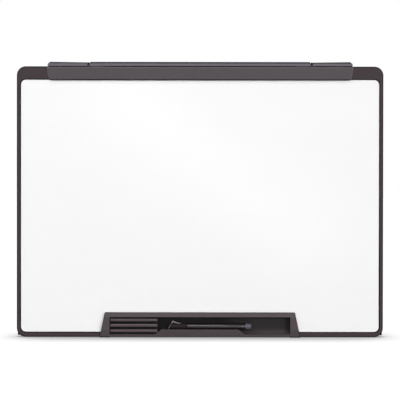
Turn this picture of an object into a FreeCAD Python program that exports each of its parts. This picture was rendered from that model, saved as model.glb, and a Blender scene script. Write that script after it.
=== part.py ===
import FreeCAD, Part
import math
import os
import Sketcher

# A portable whiteboard: a framed steel sheet with a bar along the top that holds a carry handle
# and two swing-out hangers, a tray at the bottom with an eraser and a marker, and two folding feet.
# X runs to the right along the board, Y to the back and Z up. The board stands on its bottom edge,
# and the origin is on that edge, at the middle of the frame's width and depth.

SIZES = {
    # frame, and what the pieces seated in it share
    "board_width": 610,
    "frame_height": 450.5,
    "frame_depth": 20,
    "corner_radius": 15,
    "window_radius": 8,
    "side_rail": 7,
    "bottom_rail": 8.7,
    "top_rail": 22.3,
    "outer_wall": 3,
    "lip_depth": 2.5,
    "rim_round": 2,
    "back_round": 1,
    "gusset_side": 14,
    "gusset_level": 225,
    "post_radius": 4.5,
    "seat_gap": 0.3,
    "overrun": 1,
    # writing surface, core and rear cover
    "sheet_thick": 0.4,
    "cover_thick": 2.2,
    "panel_lap": 4,
    "field_side": 60,
    "field_low": 110,
    "field_top_drop": 66,
    "field_radius": 12,
    "field_depth": 0.6,
    # screws
    "screw_radius": 1.4,
    "screw_head_radius": 3.2,
    "screw_head_thick": 1.6,
    "screw_depth": 9,
    "screw_hole_gap": 0.1,
    "screw_row_drop": 10.5,
    "cover_screw_inset": 30,
    # top bar
    "bar_inset": 51,
    "bar_proud": 3,
    "bar_drop": 0.8,
    "bar_step": 1.1,
    "bar_end_run": 3.6,
    "bar_end_rise": 13,
    "bar_end_round": 30,
    "bar_corner_round": 3.5,
    "bar_edge_round": 0.6,
    "bar_low_round": 1.4,
    "bar_boss_radius": 3.2,
    "bar_boss_inner": 40,
    "bar_boss_inset": 20,
    "bar_screw_bite": 1.6,
    "bar_screw_head_radius": 4.8,
    # section that the hanger arms and the handle share
    "strip_lift": 0.3,
    "strip_thick": 7.1,
    "nose_rise": 0.1,
    "knee_run": 1.2,
    "knee_rise": 4.4,
    "bevel_run": 3.8,
    "back_chamfer": 1.2,
    "strip_end_gap": 1.8,
    "slant_run": 2,
    "slant_depth": 3.5,
    # hangers
    "arm_inset": 51.6,
    "arm_length": 69,
    "arm_end_chamfer": 3.8,
    "arm_top_fall": 1,
    "arm_heel_run": 2.4,
    "arm_heel_rise": 3,
    "pivot_inset": 10.4,
    "pivot_radius": 3,
    "pivot_head_radius": 4.6,
    "pivot_head_thick": 2,
    "pivot_head_sink": 0.3,
    "pivot_depth": 15,
    "running_gap": 0.05,
    "slide_gap": 0.3,
    "washer_radius": 7,
    "washer_thick": 0.4,
    "washer_gap": 0.1,
    "bracket_inner": 15,
    "bracket_outer": 13,
    "bracket_height": 14.2,
    "bracket_boss_radius": 9,
    "bracket_screw_reach": 10,
    "hook_width": 12,
    "hook_bar_thick": 2.6,
    "hook_root": 14,
    "hook_tip_inset": 2.6,
    "hook_lip_thick": 4,
    "hook_lip_drop": 15,
    "hook_travel": 24,
    "hook_neck_width": 3.4,
    "hook_neck_rise": 2.2,
    "hook_head_width": 7.4,
    "hook_head_thick": 1.4,
    "hook_head_length": 16,
    "hook_head_start": 15.5,
    "hook_pad_thick": 1.5,
    "hook_pad_margin": 1.2,
    "bay_margin": 3,
    # carry handle
    "leg_inset": 89.4,
    "leg_width": 16,
    "leg_thick": 7,
    "leg_gap": 0.35,
    "handle_travel": 38,
    "flange_width": 20,
    "flange_thick": 4,
    "flange_gap": 0.3,
    "collar_height": 8.9,
    "guide_width": 42,
    "guide_wall": 1.6,
    "guide_floor": 2,
    "guide_floor_gap": 2,
    "guide_screw_reach": 15.5,
    "guide_screw_rise": 20,
    "grip_end_gap": 27,
    "grip_width": 13,
    "grip_thick": 1.6,
    # tray
    "tray_proud": 8,
    "tray_top_width": 316,
    "tray_slope_run": 8.8,
    "tray_cheek": 8.5,
    "tray_height": 41.3,
    "tray_corner_round": 1.2,
    "tray_edge_round": 0.8,
    "tray_face_thick": 2.4,
    "tray_wall": 2,
    "pocket_top": 33.3,
    "pocket_depth": 20,
    "pocket_edge_round": 0.7,
    "tray_bottom_lift": 0.8,
    "tray_boss_radius": 4,
    "tray_screw_inner": 40,
    "tray_screw_inset": 29.5,
    "tray_screw_level": 19,
    "lip_thick": 2.5,
    "lip_bay": 74.3,
    "lip_slope_run": 11,
    "lip_height": 8,
    "shelf_drop": 1,
    # eraser
    "eraser_end_gap": 5.9,
    "eraser_front": 2.5,
    "eraser_rib_thick": 4.2,
    "eraser_rib_pitch": 9,
    "eraser_rib_width": 5.8,
    "eraser_rib_round": 2,
    "felt_thick": 5.7,
    "felt_inset": 0.8,
    # marker
    "marker_start": 95.8,
    "marker_length": 139.2,
    "marker_inset": 8.5,
    "barrel_radius": 4.9,
    "barrel_wall": 1.2,
    "cap_radius": 5.2,
    "cap_length": 32.4,
    "cap_joint": 0.3,
    "cap_wall": 1.3,
    "cap_clear": 0.1,
    "neck_length": 13,
    "nib_radius": 1.9,
    "nib_reach": 9,
    "nib_seat": 6,
    "reservoir_radius": 3.4,
    "reservoir_end_gap": 1,
    "plug_length": 10,
    "plug_spigot": 8,
    "fin_thick": 4,
    "fin_peak_run": 8,
    "fin_peak_rise": 9.6,
    "fin_waist_run": 17,
    "fin_waist_rise": 6,
    "fin_end_run": 28,
    # feet
    "foot_inset": 115,
    "foot_axis_stand": 7.5,
    "foot_base_width": 24,
    "foot_base_thick": 2,
    "foot_base_low": 2,
    "foot_base_height": 86,
    "knuckle_radius": 5,
    "knuckle_length": 12,
    "knuckle_inset": 2,
    "knuckle_gap": 0.4,
    "hinge_pin_radius": 2.45,
    "foot_thick": 7,
    "foot_length": 90,
    "foot_toe_height": 13,
    "foot_heel_run": 12,
    "foot_root_run": 8,
    "foot_crest_run": 16,
    "foot_edge_round": 1.5,
    "foot_crest_round": 8,
    "foot_web_thick": 3.4,
    "foot_recess_low": 5,
    "foot_recess_drop": 8,
    "foot_recess_end": 16,
    "foot_recess_rise": 4.5,
    "foot_pad_thick": 3,
    "foot_pad_length": 22,
    "foot_screw_side": 8.5,
    "foot_screw_end": 24,
    "foot_screw_depth": 6,
    "foot_screw_head_radius": 2.6,
    "foot_screw_head_thick": 1.2,
    "backing_plate_thick": 1.5,
    "backing_plate_width": 28,
    "backing_room": 2.5,
}

# two places nearer than this are the same place, and directions this alike are parallel
SAME_PLACE = 0.001
SAME_WAY_SHARE = 0.999

doc = FreeCAD.newDocument("portable_whiteboard")
sheet = doc.addObject("Spreadsheet::Sheet", "Sizes")
for row, (alias, number) in enumerate(SIZES.items(), start=1):
    sheet.set(f"A{row}", alias)
    sheet.set(f"B{row}", str(number))
    sheet.setAlias(f"B{row}", alias)
doc.recompute()


class Size:
    """A length with its present value and the sheet expression that it comes from."""

    def __init__(self, value, text):
        self.value = value
        self.text = text

    def __add__(self, other):
        other = as_size(other)
        return Size(self.value + other.value, f"({self.text} + {other.text})")

    def __sub__(self, other):
        other = as_size(other)
        return Size(self.value - other.value, f"({self.text} - {other.text})")

    def __rsub__(self, other):
        return as_size(other) - self

    def __mul__(self, factor):
        return Size(self.value * factor, f"({self.text} * {factor})")

    __rmul__ = __mul__

    def __truediv__(self, count):
        return Size(self.value / count, f"({self.text} / {count})")

    def __neg__(self):
        return Size(-self.value, f"(-{self.text})")


def as_size(thing):
    if isinstance(thing, Size):
        return thing
    return Size(thing, str(thing))


class Named:
    """The sheet's sizes by name."""

    def __getattr__(self, alias):
        return Size(float(sheet.get(alias)), f"Sizes.{alias}")


dim = Named()


def bind(thing, prop, size):
    thing.setExpression(prop, as_size(size).text)


def rect(low_x, high_x, low_y, high_y):
    """The corners of an upright rectangle."""
    return [(low_x, low_y), (high_x, low_y), (high_x, high_y), (low_x, high_y)]


def both_sides(points):
    """Places on the right, and the same places mirrored to the left."""
    return [(sign * x, y) for sign in (1, -1) for x, y in points]


class Piece:
    """One solid made of prisms and rods, added and cut square to the main axes."""

    PLANES = {"X": "YZ_Plane", "Y": "XZ_Plane", "Z": "XY_Plane"}

    def __init__(self, label):
        self.body = doc.addObject("PartDesign::Body", label)
        self.steps = 0

    def sketch(self, across, level):
        """An empty sketch square to an axis, at a level along it."""
        self.steps += 1
        sketch = self.body.newObject("Sketcher::SketchObject", f"{self.body.Name}_outline_{self.steps}")
        role = self.PLANES[across]
        plane = next(feature for feature in self.body.Origin.OriginFeatures if feature.Role == role)
        sketch.AttachmentSupport = [(plane, "")]
        sketch.MapMode = "FlatFace"
        # the plane of X and Z faces the front, so its own height runs against Y
        bind(sketch, "AttachmentOffset.Base.z", -level if across == "Y" else level)
        return sketch

    @staticmethod
    def hold(sketch, geometry, vertex, point):
        """Ties a point of the sketch to its place."""
        for kind, size in zip(("DistanceX", "DistanceY"), point):
            size = as_size(size)
            held = sketch.addConstraint(Sketcher.Constraint(kind, -1, 1, geometry, vertex, size.value))
            bind(sketch, f"Constraints[{held}]", size)

    def draw_outline(self, sketch, points):
        spots = [FreeCAD.Vector(as_size(x).value, as_size(y).value, 0) for x, y in points]
        for here, there in zip(spots, spots[1:] + spots[:1]):
            sketch.addGeometry(Part.LineSegment(here, there), False)
        for side in range(len(points)):
            following = (side + 1) % len(points)
            sketch.addConstraint(Sketcher.Constraint("Coincident", side, 2, following, 1))
        for corner, point in enumerate(points):
            self.hold(sketch, corner, 1, point)

    def draw_rounded(self, sketch, corners, radius):
        """A closed outline of sides along the axes, whose corners are arcs of one radius."""
        facing = FreeCAD.Vector(0, 0, 1)
        (low_x, low_y), (high_x, high_y) = corners[0], corners[2]
        inner = rect(low_x + radius, high_x - radius, low_y + radius, high_y - radius)
        outward = [(-1, -1), (1, -1), (1, 1), (-1, 1)]
        spots = [FreeCAD.Vector(as_size(x).value, as_size(y).value, 0) for x, y in inner]
        for corner, (spot, (step_x, step_y)) in enumerate(zip(spots, outward)):
            following = (corner + 1) % len(spots)
            quarter = math.pi / 2
            start = (corner + 2) * quarter
            circle = Part.Circle(spot, facing, radius.value)
            sketch.addGeometry(Part.ArcOfCircle(circle, start, start + quarter), False)
            # a side leaves its corner's arc straight below, right of, above or left of the centre
            away = (0, step_y) if corner % 2 == 0 else (step_x, 0)
            shift = FreeCAD.Vector(*away, 0) * radius.value
            sketch.addGeometry(Part.LineSegment(spot + shift, spots[following] + shift), False)
        count = 2 * len(spots)
        for piece in range(count):
            sketch.addConstraint(Sketcher.Constraint("Tangent", piece, 2, (piece + 1) % count, 1))
        for corner, centre in enumerate(inner):
            arc = 2 * corner
            self.hold(sketch, arc, 3, centre)
            held = sketch.addConstraint(Sketcher.Constraint("Radius", arc, radius.value))
            bind(sketch, f"Constraints[{held}]", radius)

    def draw_circles(self, sketch, centres, radius):
        facing = FreeCAD.Vector(0, 0, 1)
        for number, (x, y) in enumerate(centres):
            middle = FreeCAD.Vector(as_size(x).value, as_size(y).value, 0)
            sketch.addGeometry(Part.Circle(middle, facing, radius.value), False)
            self.hold(sketch, number, 3, (x, y))
            held = sketch.addConstraint(Sketcher.Constraint("Radius", number, radius.value))
            bind(sketch, f"Constraints[{held}]", radius)

    def extrude(self, kind, across, low, high, draw, *shape):
        # a pad runs the way its plane faces and a pocket runs the other way
        faces_low = across == "Y"
        starts_high = faces_low == (kind == "Pad")
        sketch = self.sketch(across, high if starts_high else low)
        draw(sketch, *shape)
        before = self.body.Shape.Volume if self.body.Tip else 0
        feature = self.body.newObject(f"PartDesign::{kind}", f"{self.body.Name}_{kind}_{self.steps}")
        feature.Profile = sketch
        bind(feature, "Length", high - low)
        doc.recompute([self.body])
        gained = self.body.Shape.Volume - before
        if gained == 0 or (gained > 0) != (kind == "Pad"):
            raise ValueError(f"{feature.Name} went wrong: it gained {gained}")

    def add(self, across, points, low, high):
        self.extrude("Pad", across, low, high, self.draw_outline, points)

    def cut(self, across, points, low, high):
        self.extrude("Pocket", across, low, high, self.draw_outline, points)

    def add_rounded(self, across, corners, radius, low, high):
        self.extrude("Pad", across, low, high, self.draw_rounded, corners, radius)

    def cut_rounded(self, across, corners, radius, low, high):
        self.extrude("Pocket", across, low, high, self.draw_rounded, corners, radius)

    def add_rods(self, across, centres, radius, low, high):
        self.extrude("Pad", across, low, high, self.draw_circles, centres, radius)

    def cut_rods(self, across, centres, radius, low, high):
        self.extrude("Pocket", across, low, high, self.draw_circles, centres, radius)

    def ease(self, kind, size, chosen):
        tip = self.body.Tip
        names = [f"Edge{number}" for number, edge in enumerate(tip.Shape.Edges, start=1) if chosen(edge)]
        self.steps += 1
        feature = self.body.newObject(f"PartDesign::{kind}", f"{self.body.Name}_{kind}_{self.steps}")
        feature.Base = (tip, names)
        bind(feature, "Radius" if kind == "Fillet" else "Size", size)
        doc.recompute([self.body])
        if not feature.isValid():
            raise ValueError(f"{feature.Name} went wrong: {feature.getStatusString()}")

    def round_off(self, radius, chosen):
        self.ease("Fillet", radius, chosen)

    def chamfer(self, size, chosen):
        self.ease("Chamfer", size, chosen)


def along(axis):
    """Picks the straight edges that run along X, Y or Z."""
    def chosen(edge):
        if edge.Curve.TypeId != "Part::GeomLine":
            return False
        return abs(edge.Curve.Direction["XYZ".index(axis)]) > SAME_WAY_SHARE
    return chosen


def at(axis, place):
    """Picks the edges that lie wholly at one place on an axis."""
    def chosen(edge):
        box = edge.BoundBox
        low = getattr(box, f"{axis}Min")
        high = getattr(box, f"{axis}Max")
        return max(abs(low - place.value), abs(high - place.value)) < SAME_PLACE
    return chosen


def within(axis, low, high):
    """Picks the edges that lie wholly between two places on an axis."""
    def chosen(edge):
        box = edge.BoundBox
        starts_inside = getattr(box, f"{axis}Min") > low.value - SAME_PLACE
        ends_inside = getattr(box, f"{axis}Max") < high.value + SAME_PLACE
        return starts_inside and ends_inside
    return chosen


def every(*choices):
    return lambda edge: all(chosen(edge) for chosen in choices)


def either(*choices):
    return lambda edge: any(chosen(edge) for chosen in choices)


sub_parts = []


def keep(thing, label):
    """Lists a finished sub-part under its own label."""
    thing.Label = label
    sub_parts.append(thing)


def keep_mirrored(piece, right_label, left_label):
    """Lists a right-hand piece and its mirror image on the left."""
    keep(piece.body, right_label)
    twin = doc.addObject("Part::Mirroring", left_label)
    twin.Source = piece.body
    twin.Normal = (1, 0, 0)
    keep(twin, left_label)


def keep_group(pieces, label):
    """Lists several like solids as one sub-part."""
    group = doc.addObject("Part::Compound", f"{label}_group")
    group.Links = pieces
    keep(group, label)


def rod(name, across, centre, radius, low, high):
    """A plain cylinder along Y or Z."""
    cylinder = doc.addObject("Part::Cylinder", name)
    first, second = centre
    if across == "Y":
        cylinder.Placement.Rotation = FreeCAD.Rotation(FreeCAD.Vector(1, 0, 0), -90)
        place = (first, low, second)
    else:
        place = (first, second, low)
    for axis, size in zip("xyz", place):
        bind(cylinder, f"Placement.Base.{axis}", size)
    bind(cylinder, "Radius", radius)
    bind(cylinder, "Height", high - low)
    return cylinder


def screws(label, spots, head_radius, head_thick, seat, tip):
    """A group of screws driven in from the back, each with its head on the seat."""
    made = []
    for number, spot in enumerate(spots, start=1):
        screw = doc.addObject("Part::MultiFuse", f"{label}_{number}")
        head = rod(f"{label}_head_{number}", "Y", spot, head_radius, seat, seat + head_thick)
        shank = rod(f"{label}_shank_{number}", "Y", spot, dim.screw_radius, tip, seat)
        screw.Shapes = [head, shank]
        made.append(screw)
    keep_group(made, label)


# places that several pieces share
half_width = dim.board_width / 2
front_y = -dim.frame_depth / 2
back_y = dim.frame_depth / 2
seat_y = front_y + dim.lip_depth
core_y = seat_y + dim.sheet_thick
cover_y = back_y - dim.cover_thick
cavity_half = half_width - dim.outer_wall
cavity_top = dim.frame_height - dim.outer_wall
cavity_radius = dim.corner_radius - dim.outer_wall
window_half = half_width - dim.side_rail
window_top = dim.frame_height - dim.top_rail
panel_half = cavity_half - dim.seat_gap
panel_low = dim.outer_wall + dim.seat_gap
panel_top = window_top + dim.panel_lap
panel_radius = cavity_radius - dim.seat_gap
cover_top = cavity_top - dim.seat_gap
screw_hole = dim.screw_radius + dim.screw_hole_gap
screw_tip_y = back_y - dim.screw_depth
screw_row = dim.frame_height - dim.screw_row_drop

strip_low = dim.frame_height + dim.strip_lift
strip_top = strip_low + dim.strip_thick
bar_front = front_y - dim.bar_proud

arm_outer = half_width - dim.arm_inset
arm_inner = arm_outer - dim.arm_length
pivot_x = arm_outer - dim.pivot_inset
bracket_low_x = pivot_x - dim.bracket_inner
bracket_high_x = pivot_x + dim.bracket_outer
bracket_top = cavity_top - dim.seat_gap
bracket_low = bracket_top - dim.bracket_height
hook_tip_x = arm_inner + dim.hook_tip_inset
hook_bar_top = strip_low - dim.slide_gap
hook_bar_low = hook_bar_top - dim.hook_bar_thick
hook_neck_top = hook_bar_top + dim.hook_neck_rise
hook_head_high_x = pivot_x - dim.hook_head_start
hook_head_low_x = hook_head_high_x - dim.hook_head_length
bay_inner = hook_tip_x - dim.hook_travel - dim.bay_margin
bay_outer = bracket_low_x - dim.seat_gap
bay_floor = hook_bar_low - dim.hook_lip_drop - dim.bay_margin

guide_back = cover_y
guide_front = guide_back - dim.leg_thick - 2 * (dim.leg_gap + dim.guide_wall)
leg_y = (guide_front + guide_back) / 2
collar_low = cover_top - dim.collar_height
flange_top = collar_low - dim.flange_gap - dim.handle_travel
leg_low = flange_top - dim.flange_thick
guide_low = leg_low - dim.guide_floor_gap - dim.guide_floor
leg_x = arm_inner - dim.leg_inset
guide_low_x = leg_x - dim.guide_width / 2
guide_high_x = leg_x + dim.guide_width / 2

tray_front = front_y - dim.tray_proud
tray_top_half = dim.tray_top_width / 2
pocket_half = tray_top_half - dim.tray_cheek
pocket_floor = dim.outer_wall + dim.tray_wall + dim.seat_gap
pocket_back = tray_front + dim.pocket_depth
tray_back = pocket_back + dim.tray_wall
tray_box_half = pocket_half + dim.tray_wall
tray_box_low = pocket_floor - dim.tray_wall
tray_box_top = dim.pocket_top + dim.tray_wall
notch_half = tray_box_half + dim.seat_gap
notch_top = tray_box_top + dim.seat_gap
lip_back = tray_front + dim.lip_thick
lip_top = pocket_floor + dim.lip_height
lip_base_half = pocket_half - dim.lip_bay
lip_half = lip_base_half - dim.lip_slope_run
shelf_top = lip_top - dim.shelf_drop

foot_x = half_width - dim.foot_inset
foot_axis_y = back_y + dim.foot_axis_stand
foot_base_back = back_y + dim.foot_base_thick
foot_base_top = dim.foot_base_low + dim.foot_base_height
plate_front = cover_y - dim.backing_plate_thick

# where the screws go, as places on the right that repeat on the left
gusset_mid_x = cavity_half - dim.gusset_side / 2
gusset_spots = [
    (gusset_mid_x, dim.outer_wall + dim.gusset_side / 2),
    (gusset_mid_x, dim.gusset_level),
]
post_spots = both_sides([(cavity_half - dim.cover_screw_inset, screw_row)]) + [(0, screw_row)]
cover_spots = both_sides(gusset_spots) + post_spots
bar_boss_spots = both_sides([(dim.bar_boss_inner, screw_row), (bay_inner - dim.bar_boss_inset, screw_row)])
hanger_screw_spots = [
    (pivot_x - dim.bracket_screw_reach, screw_row),
    (pivot_x + dim.bracket_screw_reach, screw_row),
]
guide_screw_level = guide_low + dim.guide_screw_rise
guide_screw_spots = [
    (leg_x - dim.guide_screw_reach, guide_screw_level),
    (leg_x + dim.guide_screw_reach, guide_screw_level),
]
tray_screw_spots = [
    (dim.tray_screw_inner, dim.tray_screw_level),
    (pocket_half - dim.tray_screw_inset, dim.tray_screw_level),
]
foot_screw_spots = [
    (foot_x + side * dim.foot_screw_side, level)
    for side in (-1, 1)
    for level in (dim.foot_base_low + dim.foot_screw_end, foot_base_top - dim.foot_screw_end)
]


def make_frame():
    """The ring moulding: a front lip round the window, outer walls and a hollow top rail."""
    frame = Piece("frame_ring")
    outer = rect(-half_width, half_width, as_size(0), dim.frame_height)
    window = rect(-window_half, window_half, dim.bottom_rail, window_top)
    cavity = rect(-cavity_half, cavity_half, dim.outer_wall, cavity_top)
    frame.add_rounded("Y", outer, dim.corner_radius, front_y, back_y)
    frame.round_off(dim.back_round, at("Y", back_y))
    frame.cut_rounded("Y", window, dim.window_radius, front_y, back_y)
    frame.round_off(dim.rim_round, at("Y", front_y))
    frame.cut_rounded("Y", cavity, cavity_radius, seat_y, back_y)
    # the lip stops where the tray's pocket passes through it
    frame.cut(
        "Y",
        rect(-notch_half, notch_half, dim.outer_wall, dim.bottom_rail + dim.overrun),
        front_y,
        seat_y,
    )
    for sign in (1, -1):
        # blocks on the side walls and posts behind the top rail take the rear cover's screws
        for x, level in gusset_spots:
            low_x = x - dim.gusset_side / 2
            high_x = x + (dim.gusset_side + dim.outer_wall) / 2
            low_z = level - dim.gusset_side / 2
            high_z = level + dim.gusset_side / 2
            frame.add("Y", rect(sign * low_x, sign * high_x, low_z, high_z), core_y, cover_y)
        # the top wall opens over the hanger's bay and for the handle's leg
        frame.cut(
            "Z",
            rect(sign * bay_inner, sign * bracket_high_x, seat_y, back_y + dim.overrun),
            cavity_top,
            dim.frame_height,
        )
        slot_low_x = leg_x - dim.leg_width / 2 - dim.leg_gap
        slot_high_x = leg_x + dim.leg_width / 2 + dim.leg_gap
        slot_reach = dim.leg_thick / 2 + dim.leg_gap
        frame.cut(
            "Z",
            rect(sign * slot_low_x, sign * slot_high_x, leg_y - slot_reach, leg_y + slot_reach),
            cavity_top,
            dim.frame_height,
        )
    frame.add_rods("Y", post_spots, dim.post_radius, seat_y - dim.lip_depth / 2, cover_y)
    frame.cut_rods("Y", cover_spots, screw_hole, screw_tip_y - dim.seat_gap, cover_y)
    boss_hole = dim.bar_boss_radius + dim.screw_hole_gap
    frame.cut_rods("Y", bar_boss_spots, boss_hole, front_y, seat_y)
    keep(frame.body, "frame")


def panel_outline():
    """The panel's edge, with a notch at the bottom for the tray."""
    return [
        (-panel_half, panel_low),
        (-notch_half, panel_low),
        (-notch_half, notch_top),
        (notch_half, notch_top),
        (notch_half, panel_low),
        (panel_half, panel_low),
        (panel_half, panel_top),
        (-panel_half, panel_top),
    ]


def lower_corners():
    sides = either(at("X", panel_half), at("X", -panel_half))
    return every(along("Y"), sides, at("Z", panel_low))


def make_writing_surface():
    """The coated steel sheet behind the frame's lip."""
    surface = Piece("surface_sheet")
    surface.add("Y", panel_outline(), seat_y, core_y)
    surface.round_off(panel_radius, lower_corners())
    keep(surface.body, "writing_surface")


def make_core():
    """The light honeycomb core between the sheet and the rear cover."""
    core = Piece("core_block")
    core.add("Y", panel_outline(), core_y, cover_y)
    core.round_off(panel_radius, lower_corners())
    gap = dim.seat_gap
    for sign in (1, -1):
        for x, level in gusset_spots:
            low_x = x - dim.gusset_side / 2 - gap
            low_z = level - dim.gusset_side / 2 - gap - dim.overrun
            high_z = level + dim.gusset_side / 2 + gap
            core.cut("Y", rect(sign * low_x, sign * half_width, low_z, high_z), core_y, cover_y)
        core.cut(
            "Y",
            rect(sign * (guide_low_x - gap), sign * (guide_high_x + gap), guide_low - gap, cavity_top),
            guide_front - gap,
            cover_y,
        )
        plate_reach = dim.backing_plate_width / 2 + gap
        core.cut(
            "Y",
            rect(
                sign * (foot_x - plate_reach),
                sign * (foot_x + plate_reach),
                dim.foot_base_low,
                foot_base_top + gap,
            ),
            plate_front - dim.backing_room,
            cover_y,
        )
    keep(core.body, "core")


def make_rear_cover():
    """The back panel, seated in the frame, with a notch behind each hanger's bay."""
    cover = Piece("cover_plate")
    cover.add_rounded("Y", rect(-panel_half, panel_half, panel_low, cover_top), panel_radius, cover_y, back_y)
    for sign in (1, -1):
        cover.cut(
            "Y",
            rect(sign * bay_inner, sign * bay_outer, bay_floor, cavity_top),
            cover_y,
            back_y,
        )
    field = rect(
        dim.field_side - panel_half,
        panel_half - dim.field_side,
        dim.field_low,
        cover_top - dim.field_top_drop,
    )
    cover.cut_rounded("Y", field, dim.field_radius, back_y - dim.field_depth, back_y)
    paired = hanger_screw_spots + guide_screw_spots + tray_screw_spots + foot_screw_spots
    cover.cut_rods("Y", cover_spots + both_sides(paired), screw_hole, cover_y, back_y)
    keep(cover.body, "rear_cover")


def make_top_bar():
    """The plate along the front of the top rail, held by bosses through the frame's front wall."""
    bar = Piece("bar_plate")
    half = half_width - dim.bar_inset
    low = window_top - dim.bar_drop
    top = dim.frame_height - dim.bar_step
    end_low = half - dim.bar_end_run
    rise = low + dim.bar_end_rise
    outline = [(-end_low, low), (end_low, low), (half, rise), (half, top), (-half, top), (-half, rise)]
    bar.add("Y", outline, bar_front, front_y)
    for radius, level in ((dim.bar_end_round, rise), (dim.bar_corner_round, low)):
        bar.round_off(radius, every(along("Y"), at("Z", level)))
    # the lower edge, and with it the ends, rolls back further than the top edge
    for radius, level in ((dim.bar_low_round, low), (dim.bar_edge_round, top)):
        bar.round_off(radius, every(at("Y", bar_front), at("Z", level)))
    bar.add_rods("Y", bar_boss_spots, dim.bar_boss_radius, front_y, seat_y)
    bar.cut_rods("Y", bar_boss_spots, screw_hole, front_y - dim.bar_screw_bite - dim.seat_gap, seat_y)
    keep(bar.body, "top_bar")


def strip_section():
    """The section of the hanger arms and the handle, in Y and Z: a nose, two bevels and a flat top."""
    return [
        (front_y, strip_low),
        (bar_front, strip_low + dim.nose_rise),
        (bar_front + dim.knee_run, strip_low + dim.knee_rise),
        (bar_front + dim.bevel_run, strip_top),
        (back_y - dim.back_chamfer, strip_top),
        (back_y, strip_top - dim.back_chamfer),
        (back_y, strip_low),
    ]


def make_hanger_arms():
    """The swinging arms, each with a pivot bore and a slot underneath that carries its hook."""
    arm = Piece("arm_strip")
    arm.add("X", strip_section(), arm_inner, arm_outer)
    slant = [
        (arm_inner, bar_front),
        (arm_inner + dim.slant_run, bar_front),
        (arm_inner, bar_front + dim.slant_depth),
    ]
    arm.cut("Z", slant, strip_low, strip_top)
    arm.chamfer(dim.arm_end_chamfer, every(at("X", arm_outer), at("Z", strip_top)))
    # the top falls a little towards the middle, and the lower inner corner is eased
    fall_start = arm_outer - dim.arm_end_chamfer
    fall = [(arm_inner, strip_top - dim.arm_top_fall), (fall_start, strip_top), (arm_inner, strip_top)]
    heel = [
        (arm_inner, strip_low),
        (arm_inner + dim.arm_heel_run, strip_low),
        (arm_inner, strip_low + dim.arm_heel_rise),
    ]
    for wedge in (fall, heel):
        arm.cut("Y", wedge, bar_front, back_y)
    pivot = [(pivot_x, 0)]
    head_floor = strip_top - dim.pivot_head_sink - dim.pivot_head_thick - dim.washer_gap
    arm.cut_rods("Z", pivot, dim.pivot_radius + dim.running_gap, strip_low, strip_top)
    arm.cut_rods("Z", pivot, dim.pivot_head_radius + dim.slide_gap, head_floor, strip_top)
    # the slot is a narrow neck under a wider head, long enough for the head and its travel
    slot_high_x = hook_head_high_x + dim.slide_gap
    slot_low_x = hook_head_low_x - dim.hook_travel - dim.slide_gap
    neck_reach = dim.hook_neck_width / 2 + dim.slide_gap
    head_reach = dim.hook_head_width / 2 + dim.slide_gap
    slot_floor = hook_neck_top - dim.slide_gap
    slot_top = hook_neck_top + dim.hook_head_thick + dim.slide_gap
    arm.cut("Z", rect(slot_low_x, slot_high_x, -neck_reach, neck_reach), strip_low, slot_top)
    arm.cut("Z", rect(slot_low_x, slot_high_x, -head_reach, head_reach), slot_floor, slot_top)
    keep_mirrored(arm, "hanger_arm_right", "hanger_arm_left")


def make_hanger_hooks():
    """The hooks that slide along the arms, each with a lip that drops behind the board."""
    hook = Piece("hook_slide")
    reach = dim.hook_width / 2
    root_x = pivot_x - dim.hook_root
    hook.add("Z", rect(hook_tip_x, root_x, -reach, reach), hook_bar_low, hook_bar_top)
    lip_back_x = hook_tip_x + dim.hook_lip_thick
    lip_low = hook_bar_low - dim.hook_lip_drop
    hook.add("Z", rect(hook_tip_x, lip_back_x, -reach, reach), lip_low, hook_bar_low + dim.hook_bar_thick / 2)
    neck_reach = dim.hook_neck_width / 2
    head_reach = dim.hook_head_width / 2
    neck = rect(hook_head_low_x, hook_head_high_x, -neck_reach, neck_reach)
    head = rect(hook_head_low_x, hook_head_high_x, -head_reach, head_reach)
    hook.add("Z", neck, hook_bar_low, hook_neck_top)
    hook.add("Z", head, hook_neck_top, hook_neck_top + dim.hook_head_thick)
    keep_mirrored(hook, "hanger_hook_right", "hanger_hook_left")

    pad = Piece("hook_pad_block")
    margin = dim.hook_pad_margin
    pad.add(
        "X",
        rect(margin - reach, reach - margin, lip_low + margin, hook_bar_low - margin),
        lip_back_x,
        lip_back_x + dim.hook_pad_thick,
    )
    keep_mirrored(pad, "hook_pad_right", "hook_pad_left")


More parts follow.
